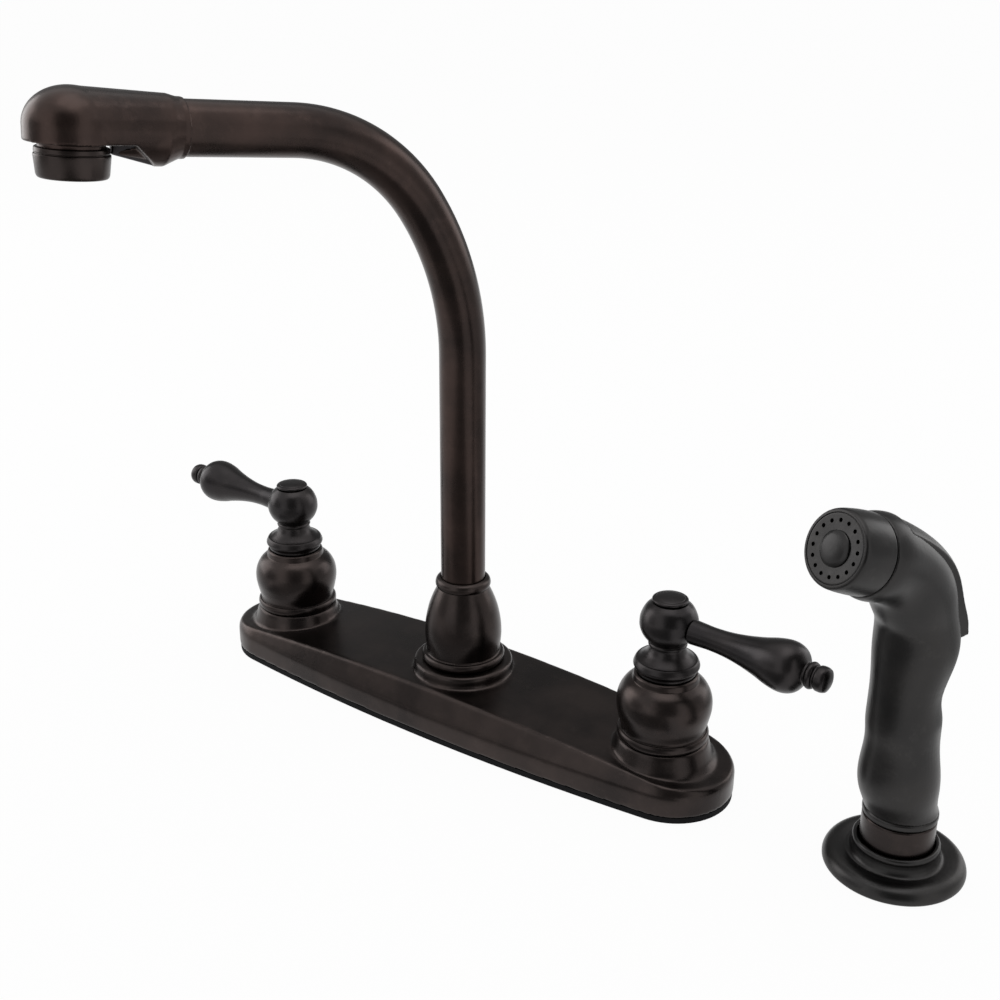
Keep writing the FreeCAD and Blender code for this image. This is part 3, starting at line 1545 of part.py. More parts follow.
def wand_place(item, reach=0, height=0, lean=None):
    """Places an item of the sprayer, drawn with the nozzle towards X and its own axis up Z."""
    swing = 90 + size.sprayer_turn
    reach = size_of(reach)
    turn = wand_turn()
    if lean is not None:
        turn = turn * Rotation(Vector(0, 1, 0), lean.value)
    return place(item, (sprayer_x + reach * cosine(swing), sprayer_y - reach * sine(swing), height), turn)


def wand_form(name, growth):
    """The sprayer's grip, elbow and head as one smooth solid, larger all round by the growth."""
    sections = []
    stations = [(0, size.wand_start, size.wand_ring_radius - 0.2, 0)]
    for label, *_ in WAND_RINGS:
        stations.append(tuple(getattr(size, f"{label}_{field}") for field in RING_FIELDS))
    stations.append((size.head_seam_reach, size.head_seam_height, size.head_seam_radius, 90 - size.head_rise))
    for number, (reach, height, radius, lean) in enumerate(stations):
        circle = document.addObject("Part::Circle", f"{name}_ring_{number}")
        bind(circle, "Radius", radius + size_of(growth))
        place(circle, (reach, 0, height), Rotation(Vector(0, 1, 0), size_of(lean).value))
        sections.append(circle)
    loft = document.addObject("Part::Loft", name)
    loft.Sections = sections
    loft.Solid = True
    loft.Ruled = False
    return loft


def trigger_region(name, half_width, margin):
    """The slab along the sprayer's back that the trigger fills, from its pin to its lower end."""
    pin_height = size.trigger_pin_height
    front = size.trigger_pin_reach + size.trigger_front_length + 2 * margin
    top = pin_height + size.trigger_cut_height
    low = size.trigger_end_height - 3 * margin
    back = -size.head_seam_reach
    body = new_body(name)
    sketch = new_sketch(body, f"{name}_outline")
    draw(
        sketch,
        (back, low),
        [
            (margin, low),
            (margin + size.trigger_slope_reach, size.elbow_middle_height),
            (front, pin_height - size.trigger_slope_drop - margin),
            (front, top),
            (back, top),
            (back, low),
        ],
    )
    pad = body.newObject("PartDesign::Pad", f"{name}_pad")
    pad.Profile = sketch
    bind(pad, "Length", 2 * half_width)
    pad.Midplane = True
    return body


def make_wand_body():
    """Hollow sprayer body: grip, elbow and head, with a sunk seat for the trigger."""
    form = wand_form("wand_outer", 0)
    core = wand_form("wand_core", -size.trigger_sink)
    half_width = size.trigger_width / 2 + size.trigger_side_gap
    sunk = trigger_region("wand_sunk_region", half_width, size.trigger_end_gap)
    sunk_space = cut("wand_sunk_space", sunk, core)
    foot = size.wand_start
    axis = size.wand_valve_reach
    lower = cylinder("wand_chamber", size.wand_chamber_radius, foot - 1, size.wand_chamber_top, axis)
    seat_top = size.wand_chamber_top + size.valve_seat_height
    seat = cylinder("wand_seat_bore", size.valve_seat_bore, foot, seat_top + 1, axis)
    upper = cylinder("wand_upper_chamber", size.upper_chamber_radius, seat_top, size.upper_chamber_top, axis)
    guide = cylinder(
        "wand_plunger_guide", size.plunger_radius + size.running_fit, seat_top,
        size.trigger_pin_height + size.trigger_cut_height, axis,
    )
    lean = 90 - size.head_rise
    along = Rotation(Vector(0, 1, 0), lean.value)
    bore = cylinder(
        "wand_nozzle_bore", size.head_seam_radius - size.nozzle_bore_wall, 0, size.nozzle_bore_depth + 1
    )
    bore_reach = size.head_seam_reach - size.nozzle_bore_depth * sine(lean)
    bore_height = size.head_seam_height - size.nozzle_bore_depth * cosine(lean)
    place(bore, (bore_reach, 0, bore_height), along)
    passage = cylinder("wand_nozzle_passage", size.nozzle_passage_radius, 0, size.nozzle_passage_length)
    back_reach = size.head_seam_reach - size.nozzle_passage_length * sine(lean)
    back_height = size.head_seam_height - size.nozzle_passage_length * cosine(lean)
    place(passage, (back_reach, 0, back_height), along)
    link = cylinder("wand_chamber_link", size.chamber_link_radius, 0, size.chamber_link_length)
    place(
        link, (axis, 0, size.upper_chamber_top - 5),
        Rotation(Vector(0, 1, 0), size.chamber_link_lean.value),
    )
    half_hole = size.trigger_width / 2 + size.trigger_pin_overhang + size.trigger_side_gap
    pin_hole = cylinder("wand_pin_hole", size.trigger_pin_radius + size.face_gap, 0, 2 * half_hole)
    place(
        pin_hole,
        (size.trigger_pin_reach, half_hole, size.trigger_pin_height),
        Rotation(Vector(1, 0, 0), 90),
    )
    body = cut("wand_hollowed", form, sunk_space, lower, seat, upper, guide, link, passage, bore, pin_hole)
    keep("spray_body", wand_place(body))


def make_trigger():
    """Curved thumb lever: it follows the elbow's back and swings on a pin near the head."""
    outer = wand_form("trigger_outer_form", size.trigger_outer)
    inner = wand_form("trigger_inner_form", -size.trigger_inner)
    region = trigger_region("trigger_region_slab", size.trigger_width / 2, size_of(0))
    across = Rotation(Vector(1, 0, 0), 90)
    bore = cylinder("trigger_pin_bore", size.trigger_pin_radius + size.running_fit, 0, size.trigger_width + 2)
    place(bore, (size.trigger_pin_reach, size.trigger_width / 2 + 1, size.trigger_pin_height), across)
    solid = cut("trigger_solid", shared("trigger_strip", outer, region), inner, bore)
    swing = Rotation(Vector(0, 1, 0), SIZES["trigger_swing"])
    pivot = Vector(SIZES["trigger_pin_reach"], 0, SIZES["trigger_pin_height"])
    local = FreeCAD.Placement(pivot - swing.multVec(pivot), swing)
    world = FreeCAD.Placement(Vector(sprayer_x.value, sprayer_y.value, 0), wand_turn())
    solid.Placement = world.multiply(local)
    keep("spray_trigger", solid)
    half = size.trigger_width / 2 + size.trigger_pin_overhang
    pin = cylinder("trigger_pin_rod", size.trigger_pin_radius, 0, 2 * half)
    turn = wand_turn() * across
    swing_angle = 90 + size.sprayer_turn
    place(
        pin,
        (
            sprayer_x + size.trigger_pin_reach * cosine(swing_angle) + half * sine(swing_angle),
            sprayer_y + half * cosine(swing_angle) - size.trigger_pin_reach * sine(swing_angle),
            size.trigger_pin_height,
        ),
        turn,
    )
    keep("trigger_pin", pin)


def make_plunger():
    """Valve plunger under the trigger: pressing it moves its disc off the seat."""
    disc_high = size.wand_chamber_top - size.face_gap
    disc_bottom = disc_high - size.plunger_disc_height
    tip = size.plunger_tip_height
    guide_low = disc_bottom - 9.0
    plunger = turned(
        "plunger_turning",
        (0, guide_low),
        [
            (size.plunger_radius, guide_low),
            (size.plunger_radius, disc_bottom),
            (size.plunger_disc_radius, disc_bottom),
            (size.plunger_disc_radius, disc_high),
            (size.plunger_radius, disc_high),
            (size.plunger_radius, tip - 0.6),
            crowned(size.plunger_radius, tip - 0.6, tip),
        ],
    )
    keep("spray_plunger", wand_place(plunger, size.wand_valve_reach))
    seat = ring(
        "spring_seat_ring", size.spring_seat_bore, size.wand_chamber_radius - size.thread_fit,
        size.spring_bottom - size.spring_seat_thickness, size.spring_bottom,
    )
    keep("spring_seat", wand_place(seat, size.wand_valve_reach))
    length = disc_bottom - size.spring_bottom - 2 * size.face_gap
    turns = SIZES["spring_turns"]
    pitch = (length.value - SIZES["spring_wire"]) / turns
    helix = Part.makeHelix(pitch, pitch * turns, SIZES["spring_radius"])
    wire = Part.Wire(Part.makeCircle(SIZES["spring_wire"] / 2, Vector(SIZES["spring_radius"], 0, 0), Vector(0, 1, 0)))
    coil = Part.Wire(helix).makePipeShell([wire], True, False)
    spring = document.addObject("Part::Feature", "spring_coil")
    spring.Shape = Part.Solid(coil) if coil.ShapeType == "Shell" else coil
    bottom = size.spring_bottom + size.spring_wire / 2 + size.face_gap
    keep("plunger_spring", wand_place(spring, size.wand_valve_reach, bottom))


def make_coupling():
    """The lower end of the sprayer: a swivel stem for the hose, a collar and a thin ring."""
    collar_low = size.holder_seat_height + 0.1
    stem_bore = size.coupling_stem_radius + size.running_fit
    collar = ring("collar_turning", stem_bore, size.wand_collar_radius, collar_low, size.wand_collar_top)
    keep("spray_collar", wand_place(collar))
    ring_low = size.wand_collar_top + 0.2
    ring_high = ring_low + size.wand_ring_height
    ring_inner = size.coupling_stem_radius + 2.4
    bead = turned(
        "wand_ring_turning",
        (ring_inner, ring_low),
        [
            (size.wand_ring_radius - 0.5, ring_low),
            ((size.wand_ring_radius, (ring_low + ring_high) / 2), (size.wand_ring_radius - 0.5, ring_high)),
            (ring_inner, ring_high),
        ],
    )
    keep("spray_ring", wand_place(bead))
    flange_high = collar_low - 0.15
    flange_low = flange_high - size.coupling_flange_height
    tail_low = flange_low - size.coupling_tail_length
    head_low = size.wand_collar_top + 0.3
    head_high = head_low + 2.0
    passage = size.coupling_bore - 1.2
    coupling = turned(
        "coupling_turning",
        (size.coupling_bore, tail_low),
        [
            (size.coupling_tail_radius, tail_low),
            (size.coupling_tail_radius, flange_low),
            (size.coupling_flange_radius, flange_low),
            (size.coupling_flange_radius, flange_high),
            (size.coupling_stem_radius, flange_high),
            (size.coupling_stem_radius, head_low),
            (size.coupling_stem_radius + 1.4, head_low),
            (size.coupling_stem_radius + 1.4, head_high),
            (passage, head_high),
            (passage, flange_low),
            (size.coupling_bore, flange_low),
        ],
    )
    keep("spray_coupling", wand_place(coupling))


def make_nozzle():
    """The front of the sprayer: a sleeve, a drilled face plate and a centre button."""
    lean = 90 - size.head_rise
    reach, height = size.head_seam_reach, size.head_seam_height
    length = size.sleeve_length
    inner = size.sleeve_front_radius - size.sleeve_wall
    face_radius = inner - size.thread_fit
    face_low = length - 0.5 - size.face_thickness
    sleeve = turned(
        "sleeve_turning",
        (inner, 0.25),
        [
            (size.head_seam_radius - 0.3, 0.25),
            (size.head_seam_radius, 0.8),
            ((size.head_seam_radius - 0.25, length * 0.55), (size.sleeve_front_radius, length - 0.9)),
            (size.sleeve_front_radius - 0.6, length),
            (inner, length),
        ],
    )
    keep("spray_sleeve", wand_place(sleeve, reach, height, lean))
    face = cylinder("face_blank", face_radius, face_low, face_low + size.face_thickness)
    holes = [cylinder("face_centre_hole", size.button_radius / 2, face_low - 1, length)]
    for step in range(16):
        angle = 2 * math.pi * (step + 0.5) / 16
        holes.append(
            cylinder("face_hole", size.face_hole_radius, face_low - 1, length,
                     size.face_hole_circle * math.cos(angle), size.face_hole_circle * math.sin(angle))
        )
    keep("spray_face", wand_place(cut("face_drilled", face, *holes), reach, height, lean))
    face_high = face_low + size.face_thickness + size.face_gap
    stem = size.button_radius / 2 - size.face_gap
    button = turned(
        "button_turning",
        (0, face_low - 3),
        [
            (stem, face_low - 3),
            (stem, face_high),
            (size.button_radius, face_high),
            (size.button_radius, face_high + size.button_height - 0.5),
            (size.button_radius - 0.5, face_high + size.button_height),
            (0, face_high + size.button_height),
        ],
    )
    keep("spray_button", wand_place(button, reach, height, lean))


# ---------------------------------------------------------------- assembly


def check_and_export():
    document.recompute()
    broken = [item.Name for item in document.Objects if {"Invalid", "Error"} & set(item.State)]
    for label, item in parts.items():
        if item.Shape.isNull() or not item.Shape.isValid() or not item.Shape.Solids:
            broken.append(label)
    if broken:
        raise RuntimeError(f"these objects failed: {broken}")
    os.makedirs("parts", exist_ok=True)
    for label, item in parts.items():
        item.Shape.exportStep(f"parts/{label}.step")
        print(f"{label}: {len(item.Shape.Solids)} solids, {item.Shape.Volume:.1f} mm3")
    print(f"{len(parts)} sub-parts written")


make_gasket()
make_deck_plate()
for side_name, side_sign in sides.items():
    make_valve(side_name, side_sign)
    make_handle(side_name, side_sign)
make_post()
make_diverter()
make_hose_nipple()
make_hub_nut()
make_swivel()
tube = tube_route()
make_tube(tube)
make_head(tube)
make_aerator(tube)
make_fastenings()
make_holder()
make_wand_body()
make_trigger()
make_plunger()
make_coupling()
make_nozzle()
check_and_export()
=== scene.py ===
# Two handle kitchen faucet with its side sprayer: looks, light and camera.
import json
import math

import bpy
from mathutils import Matrix, Vector

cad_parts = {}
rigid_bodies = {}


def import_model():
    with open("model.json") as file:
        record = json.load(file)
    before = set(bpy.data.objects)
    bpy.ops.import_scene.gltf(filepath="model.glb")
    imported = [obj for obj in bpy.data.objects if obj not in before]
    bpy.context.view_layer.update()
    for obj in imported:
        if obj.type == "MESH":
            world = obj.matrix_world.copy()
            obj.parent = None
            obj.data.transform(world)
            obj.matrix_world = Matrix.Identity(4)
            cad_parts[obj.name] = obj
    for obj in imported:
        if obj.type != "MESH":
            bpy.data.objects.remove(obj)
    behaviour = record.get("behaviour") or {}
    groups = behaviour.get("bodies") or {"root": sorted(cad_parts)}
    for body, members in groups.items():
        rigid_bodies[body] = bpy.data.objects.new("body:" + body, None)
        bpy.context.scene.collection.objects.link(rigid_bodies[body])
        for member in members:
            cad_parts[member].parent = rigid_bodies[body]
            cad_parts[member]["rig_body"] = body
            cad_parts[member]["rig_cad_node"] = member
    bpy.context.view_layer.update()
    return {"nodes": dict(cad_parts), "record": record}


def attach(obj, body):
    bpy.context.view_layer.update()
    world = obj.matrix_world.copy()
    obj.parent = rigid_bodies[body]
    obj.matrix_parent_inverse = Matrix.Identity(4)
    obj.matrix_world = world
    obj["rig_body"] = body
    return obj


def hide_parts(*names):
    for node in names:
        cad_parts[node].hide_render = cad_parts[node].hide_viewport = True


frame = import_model()
nodes = frame["nodes"]
mm = 0.001
weld = 2e-6  # points closer than this are merged
shortest = 1e-7  # shorter steps of an outline are left out


def say(stage):
    print("faucet:", stage)


def clearSelection():
    active = bpy.context.view_layer.objects.active
    if active is not None and active.mode != "OBJECT":
        bpy.ops.object.mode_set(mode="OBJECT")
    bpy.ops.object.select_all(action="DESELECT")


def selectOnly(piece):
    clearSelection()
    piece.select_set(True)
    bpy.context.view_layer.objects.active = piece


def settle(piece, place=None):
    # puts the finished piece in its place and leaves its object at the origin
    selectOnly(piece)
    if place is not None:
        piece.matrix_world = place @ piece.matrix_world
        bpy.context.view_layer.update()
    bpy.ops.object.transform_apply(location=True, rotation=True, scale=True)
    return piece


def smooth(piece, angle=35):
    selectOnly(piece)
    bpy.ops.object.shade_smooth_by_angle(angle=math.radians(angle))
    return piece


def addModifier(piece, kind, **settings):
    selectOnly(piece)
    modifier = piece.modifiers.new(kind.lower(), kind)
    for name, value in settings.items():
        setattr(modifier, name, value)
    bpy.ops.object.modifier_apply(modifier=modifier.name)


def turnedLine(points, fine=7):
    # radius and height in mm; "soft" points are joined by a curve, a number rounds the corner
    flat = [Vector((point[0], point[1])) for point in points]
    kind = [point[2] if len(point) > 2 else 0 for point in points]
    last = len(points) - 1
    line = [(flat[0], kind[0])]
    for index in range(last):
        start, end = flat[index], flat[index + 1]
        softStart, softEnd = kind[index] == "soft", kind[index + 1] == "soft"
        if softStart or softEnd:
            length = (end - start).length
            slopeStart = slopeEnd = end - start
            if softStart:
                slopeStart = (end - flat[max(index - 1, 0)]).normalized() * length
            if softEnd:
                slopeEnd = (flat[min(index + 2, last)] - start).normalized() * length
            if not softStart:
                slopeStart = (end - start) * 1.5 - slopeEnd * 0.5
            if not softEnd:
                slopeEnd = (end - start) * 1.5 - slopeStart * 0.5
            for step in range(1, fine):
                t = step / fine
                a = 2 * t**3 - 3 * t**2 + 1
                b = t**3 - 2 * t**2 + t
                c = -2 * t**3 + 3 * t**2
                d = t**3 - t**2
                line.append((start * a + slopeStart * b + end * c + slopeEnd * d, 0))
        line.append((end, kind[index + 1]))
    rounded = []
    cornerShare, cornerSteps = 0.48, 4  # a round uses under half of the line on each side
    for index, (point, corner) in enumerate(line):
        if corner in (0, "soft") or index in (0, len(line) - 1):
            rounded.append(point)
            continue
        before, after = line[index - 1][0], line[index + 1][0]
        back = point + (before - point).normalized() * min(corner, (before - point).length * cornerShare)
        ahead = point + (after - point).normalized() * min(corner, (after - point).length * cornerShare)
        for step in range(cornerSteps + 1):
            t = step / cornerSteps
            rounded.append(back * (1 - t) ** 2 + point * 2 * t * (1 - t) + ahead * t**2)
    return rounded


def turnPiece(name, points, steps=72, closed=False):
    # draws the outline from one vertex and spins it round Z
    line = turnedLine(points + points[:1] if closed else points)
    clearSelection()
    bpy.ops.mesh.primitive_plane_add(size=mm, location=(line[0].x * mm, 0, line[0].y * mm))
    piece = bpy.context.object
    piece.name = name
    bpy.ops.object.mode_set(mode="EDIT")
    bpy.ops.mesh.select_all(action="SELECT")
    bpy.ops.mesh.merge(type="CENTER")
    for before, after in zip(line, line[1:]):
        step = (after - before) * mm
        if step.length > shortest:
            bpy.ops.mesh.extrude_region_move(TRANSFORM_OT_translate={"value": (step.x, 0, step.y)})
    bpy.ops.mesh.select_all(action="SELECT")
    bpy.ops.mesh.spin(steps=steps, angle=2 * math.pi, center=(0, 0, 0), axis=(0, 0, 1))
    bpy.ops.mesh.select_all(action="SELECT")
    bpy.ops.mesh.remove_doubles(threshold=weld)
    bpy.ops.mesh.normals_make_consistent(inside=False)
    bpy.ops.object.mode_set(mode="OBJECT")
    return smooth(settle(piece))


def copyPiece(piece, name, place):
    copy = piece.copy()
    copy.data = piece.data.copy()
    copy.name = name
    bpy.context.scene.collection.objects.link(copy)
    return settle(copy, place)


def castCopy(node, name, voxel, passes):
    # a merged copy of a CAD node, with its edges softened as on a polished casting
    copy = nodes[node].copy()
    copy.data = nodes[node].data.copy()
    copy.name = name
    copy.parent = None
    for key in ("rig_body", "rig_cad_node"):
        if key in copy:
            del copy[key]
    bpy.context.scene.collection.objects.link(copy)
    selectOnly(copy)
    bpy.ops.object.mode_set(mode="EDIT")
    bpy.ops.mesh.select_all(action="SELECT")
    bpy.ops.mesh.remove_doubles(threshold=weld)
    bpy.ops.object.mode_set(mode="OBJECT")
    addModifier(copy, "REMESH", mode="VOXEL", voxel_size=voxel * mm, adaptivity=0.0)
    addModifier(copy, "SMOOTH", factor=0.5, iterations=passes)
    return smooth(copy)


def pickPoints(piece, test):
    # leaves the piece in edit mode with only the points that pass the test selected
    selectOnly(piece)
    mesh = piece.data
    for part in (*mesh.polygons, *mesh.edges):
        part.select = False
    for point in mesh.vertices:
        point.select = test(point.co)
    bpy.ops.object.mode_set(mode="EDIT")


def finishPiece(piece, body, material, slot, *replaced):
    piece.data.materials.clear()
    piece.data.materials.append(material)
    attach(piece, body)
    if replaced:
        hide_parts(*replaced)


# materials

bronzeLooks = {
    # dark: worn-in brown black, warm: where the copper shows, rough: lowest and highest; the keel's lighter
    # greys are a painted reflection instead
    "bronze": {"dark": (0.032, 0.027, 0.026), "warm": (0.052, 0.041, 0.038), "rough": (0.25, 0.34)},
    "tube bronze": {"dark": (0.034, 0.026, 0.024), "warm": (0.062, 0.043, 0.038), "rough": (0.24, 0.33)},
    # the keel: a lighter grey copy of the bronze, its lightness a painted reflection of the pale floor
    "keel bronze with painted reflection": {"dark": (0.075, 0.070, 0.074), "warm": (0.10, 0.092, 0.096), "rough": (0.28, 0.36)},
    "handle bronze": {"dark": (0.030, 0.028, 0.029), "warm": (0.042, 0.038, 0.038), "rough": (0.27, 0.38)},
    "sprayer bronze": {"dark": (0.037, 0.036, 0.036), "warm": (0.048, 0.046, 0.045), "rough": (0.30, 0.42)},
}
bronzeGrain = {
    "patina": 38, "rubbed": 140, "brushed": 900,  # noise scales
    "patches": (0.36, 0.66), "rubbedFrom": (0.55, 0.75), "copperShare": 0.35, "copperGain": 1.5, "bump": 0.10,
}
plainGrain = {"clouds": (0.35, 0.65), "scale": 400, "bump": 0.08}
bumpDepth = 0.0002


def newMaterial(name):
    material = bpy.data.materials.new(name)
    material.use_nodes = True
    tree = material.node_tree
    shader = tree.nodes["Principled BSDF"]
    return material, tree, shader


def addNode(tree, kind, **inputs):
    node = tree.nodes.new(kind)
    for name, value in inputs.items():
        node.inputs[name.replace("_", " ")].default_value = value
    return node


def objectNoise(tree, scale, detail=4.0, stretch=(1, 1, 1), roughness=0.55):
    place = tree.nodes.new("ShaderNodeTexCoord")
    mapping = addNode(tree, "ShaderNodeMapping", Scale=stretch)
    noise = addNode(tree, "ShaderNodeTexNoise", Scale=scale, Detail=detail, Roughness=roughness)
    tree.links.new(place.outputs["Object"], mapping.inputs["Vector"])
    tree.links.new(mapping.outputs["Vector"], noise.inputs["Vector"])
    return noise


def ramp(tree, source, stops):
    node = tree.nodes.new("ShaderNodeValToRGB")
    elements = node.color_ramp.elements
    while len(elements) < len(stops):
        elements.new(0.5)
    for element, (position, colour) in zip(elements, stops):
        element.position = position
        element.color = (*colour, 1)
    tree.links.new(source, node.inputs["Fac"])
    return node


def spread(tree, source, low, high, fromLow=0.3, fromHigh=0.7):
    node = tree.nodes.new("ShaderNodeMapRange")
    node.inputs["From Min"].default_value = fromLow
    node.inputs["From Max"].default_value = fromHigh
    node.inputs["To Min"].default_value = low
    node.inputs["To Max"].default_value = high
    tree.links.new(source, node.inputs["Value"])
    return node


def mixColours(tree, share, first, second):
    node = tree.nodes.new("ShaderNodeMix")
    node.data_type = "RGBA"
    tree.links.new(share, node.inputs["Factor"])
    for source, socket in ((first, node.inputs["A"]), (second, node.inputs["B"])):
        if isinstance(source, tuple):
            socket.default_value = (*source, 1)
        else:
            tree.links.new(source, socket)
    return node.outputs["Result"]


def bronzeFinish(name, stretch=(1, 1, 1)):
    # rubbed bronze: brown patina, copper showing through in places, fine brush marks
    look = bronzeLooks[name]
    material, tree, shader = newMaterial(name)
    grain = bronzeGrain
    patina = objectNoise(tree, grain["patina"], detail=5)
    patches = ramp(tree, patina.outputs["Fac"], list(zip(grain["patches"], (look["dark"], look["warm"]))))
    rubbed = objectNoise(tree, grain["rubbed"], detail=6, roughness=0.7)
    worn = spread(tree, rubbed.outputs["Fac"], 0, grain["copperShare"], *grain["rubbedFrom"])
    copper = tuple(channel * grain["copperGain"] for channel in look["warm"])
    colour = mixColours(tree, worn.outputs["Result"], patches.outputs["Color"], copper)
    tree.links.new(colour, shader.inputs["Base Color"])
    brushed = objectNoise(tree, grain["brushed"], detail=3, stretch=stretch)
    rough = spread(tree, patina.outputs["Fac"], look["rough"][0], look["rough"][1])
    tree.links.new(rough.outputs["Result"], shader.inputs["Roughness"])
    shader.inputs["Metallic"].default_value = 1.0
    bump = addNode(tree, "ShaderNodeBump", Strength=grain["bump"], Distance=bumpDepth)
    tree.links.new(brushed.outputs["Fac"], bump.inputs["Height"])
    tree.links.new(bump.outputs["Normal"], shader.inputs["Normal"])
    return material


def plainFinish(name, dark, light, metallic, rough, scale=60, shine=0.5):
    material, tree, shader = newMaterial(name)
    shader.inputs["Specular IOR Level"].default_value = shine
    cloud = objectNoise(tree, scale, detail=5)
    colours = ramp(tree, cloud.outputs["Fac"], list(zip(plainGrain["clouds"], (dark, light))))
    tree.links.new(colours.outputs["Color"], shader.inputs["Base Color"])
    roughness = spread(tree, cloud.outputs["Fac"], rough[0], rough[1])
    tree.links.new(roughness.outputs["Result"], shader.inputs["Roughness"])
    shader.inputs["Metallic"].default_value = metallic
    grain = objectNoise(tree, plainGrain["scale"], detail=3)
    bump = addNode(tree, "ShaderNodeBump", Strength=plainGrain["bump"], Distance=bumpDepth)
    tree.links.new(grain.outputs["Fac"], bump.inputs["Height"])
    tree.links.new(bump.outputs["Normal"], shader.inputs["Normal"])
    return material


bronze = bronzeFinish("bronze")
tubeBronze = bronzeFinish("tube bronze", (1, 1, 0.15))
# lighter bronze for the keel: a painted reflection of the pale floor on the bow
keelPaintedReflectionBronze = bronzeFinish("keel bronze with painted reflection")
handleBronze = bronzeFinish("handle bronze")
sprayerBronze = bronzeFinish("sprayer bronze")
gasketRubber = plainFinish(
    "gasket rubber", (0.004, 0.004, 0.005), (0.009, 0.009, 0.010), 0, (0.75, 0.9), shine=0.15
)
sealRubber = plainFinish("seal rubber", (0.012, 0.012, 0.013), (0.022, 0.022, 0.023), 0, (0.45, 0.65))
ceramic = plainFinish("ceramic", (0.74, 0.73, 0.70), (0.82, 0.81, 0.78), 0, (0.12, 0.2))
brass = plainFinish("brass", (0.52, 0.36, 0.14), (0.68, 0.49, 0.22), 1, (0.22, 0.36), 90)
steel = plainFinish("steel", (0.45, 0.45, 0.46), (0.60, 0.60, 0.61), 1, (0.2, 0.34), 90)
whitePlastic = plainFinish("white plastic", (0.60, 0.60, 0.58), (0.68, 0.68, 0.66), 0, (0.35, 0.5))
say("materials")

# handles: bonnet, hub, lever and cap are turned once and copied to the other side

valve = {
    "spacing": 203.2,
    "bonnet": [
        (12.65, 24.05), (17.9, 24.05, 0.5), (18.5, 24.9, "soft"), (18.5, 26.7, "soft"), (17.9, 27.7, 0.4),
        (17.25, 27.9, 0.2), (17.35, 29.2, "soft"), (18.3, 33.0, "soft"), (19.2, 38.2, "soft"),
        (18.7, 43.0, "soft"), (16.5, 47.2, "soft"), (13.3, 49.7, 0.4), (13.0, 51.9, 0.4), (12.2, 52.6, 0.3),
        (7.2, 52.6, 0.3), (7.2, 47.3), (15.1, 43.8), (16.3, 38.8), (12.65, 36.7),
    ],
    "hub": [
        (11.0, 53.2), (12.0, 53.2, 0.3), (12.15, 54.2, "soft"), (13.25, 56.0, "soft"), (12.7, 57.9, "soft"),
        (12.1, 58.7, 0.4), (11.6, 58.75, 0.3), (10.4, 59.5, "soft"), (8.3, 61.4, "soft"), (7.3, 63.4, "soft"),
        (7.1, 64.4, 0.25), (7.75, 64.75, 0.3), (7.75, 65.5, 0.25), (7.3, 66.0, 0.15), (8.2, 66.95, "soft"),
        (10.2, 69.4, "soft"), (11.4, 72.3, "soft"), (11.6, 74.7, "soft"), (11.2, 77.4, "soft"),
        (9.6, 80.8, "soft"), (7.6, 82.75, 0.4), (7.1, 83.16, 0.2), (4.5, 83.16), (4.5, 71.5), (2.2, 71.5),
        (2.2, 55.6), (11.0, 55.6),
    ],
    "cap": [
        (0, 83.4), (6.7, 83.4, 0.3), (7.15, 83.9, 0.3), (7.15, 84.55, 0.35), (6.5, 85.0, 0.3),
        (5.9, 85.05, 0.3), (5.5, 85.3, "soft"), (3.2, 85.75, "soft"), (0, 85.9, "soft"),
    ],
}
lever = {
    "height": 73.8,
    "turn": {"hot": 2.5, "cold": 5.0},
    "outline": [
        (0, 7.6), (4.2, 7.6), (4.2, 11.0, 0.15), (4.95, 11.2, 0.3), (4.8, 14.5, "soft"), (4.6, 20.0, "soft"),
        (4.95, 27.0, "soft"), (6.0, 34.0, "soft"), (7.6, 41.0, "soft"), (9.2, 46.5, "soft"),
        (10.0, 51.2, "soft"), (9.7, 54.6, "soft"), (8.2, 57.6, "soft"), (5.3, 59.7, 0.6),
        (4.25, 60.3, 0.3), (4.25, 61.2, 0.2), (4.8, 61.4, 0.3), (5.2, 62.1, "soft"), (5.2, 62.9, "soft"),
        (4.7, 63.8, 0.3), (4.0, 64.0, 0.2), (4.0, 64.7, 0.2), (4.6, 65.0, 0.3), (4.9, 65.7, "soft"),
        (4.9, 67.6, "soft"), (4.4, 68.9, 0.5), (2.6, 69.7, "soft"), (0, 70.0, "soft"),
    ],
}
bonnet = turnPiece("hotBonnet", valve["bonnet"], 96, closed=True)
hub = turnPiece("hotHub", valve["hub"], 96, closed=True)
cap = turnPiece("hotCap", valve["cap"], 64)
arm = turnPiece("hotArm", lever["outline"], 64)
for side, sign in (("cold", 1), ("hot", -1)):
    beside = Matrix.Translation((sign * valve["spacing"] / 2 * mm, 0, 0))
    turn = Matrix.Rotation(math.radians(-lever["turn"][side]), 4, "Z")
    aim = Matrix.Rotation(math.radians(90 * sign), 4, "Y")
    armPlace = beside @ Matrix.Translation((0, 0, lever["height"] * mm)) @ turn @ aim
    for piece, part, place, node in (
        (bonnet, "Bonnet", beside, "bonnet"), (hub, "Hub", beside, "lever_hub"),
        (cap, "Cap", beside, "handle_cap"), (arm, "Arm", armPlace, "lever"),
    ):
        if side == "cold":
            placed = copyPiece(piece, side + part, place)
        else:
            placed = settle(piece, place)
        body = "base" if part == "Bonnet" else side + "_handle"
        look = bronze if part == "Bonnet" else handleBronze
        finishPiece(placed, body, look, "dark_bronze", f"{side}_{node}")
say("handles")

# spout: hub nut, swept tube, cast head and aerator

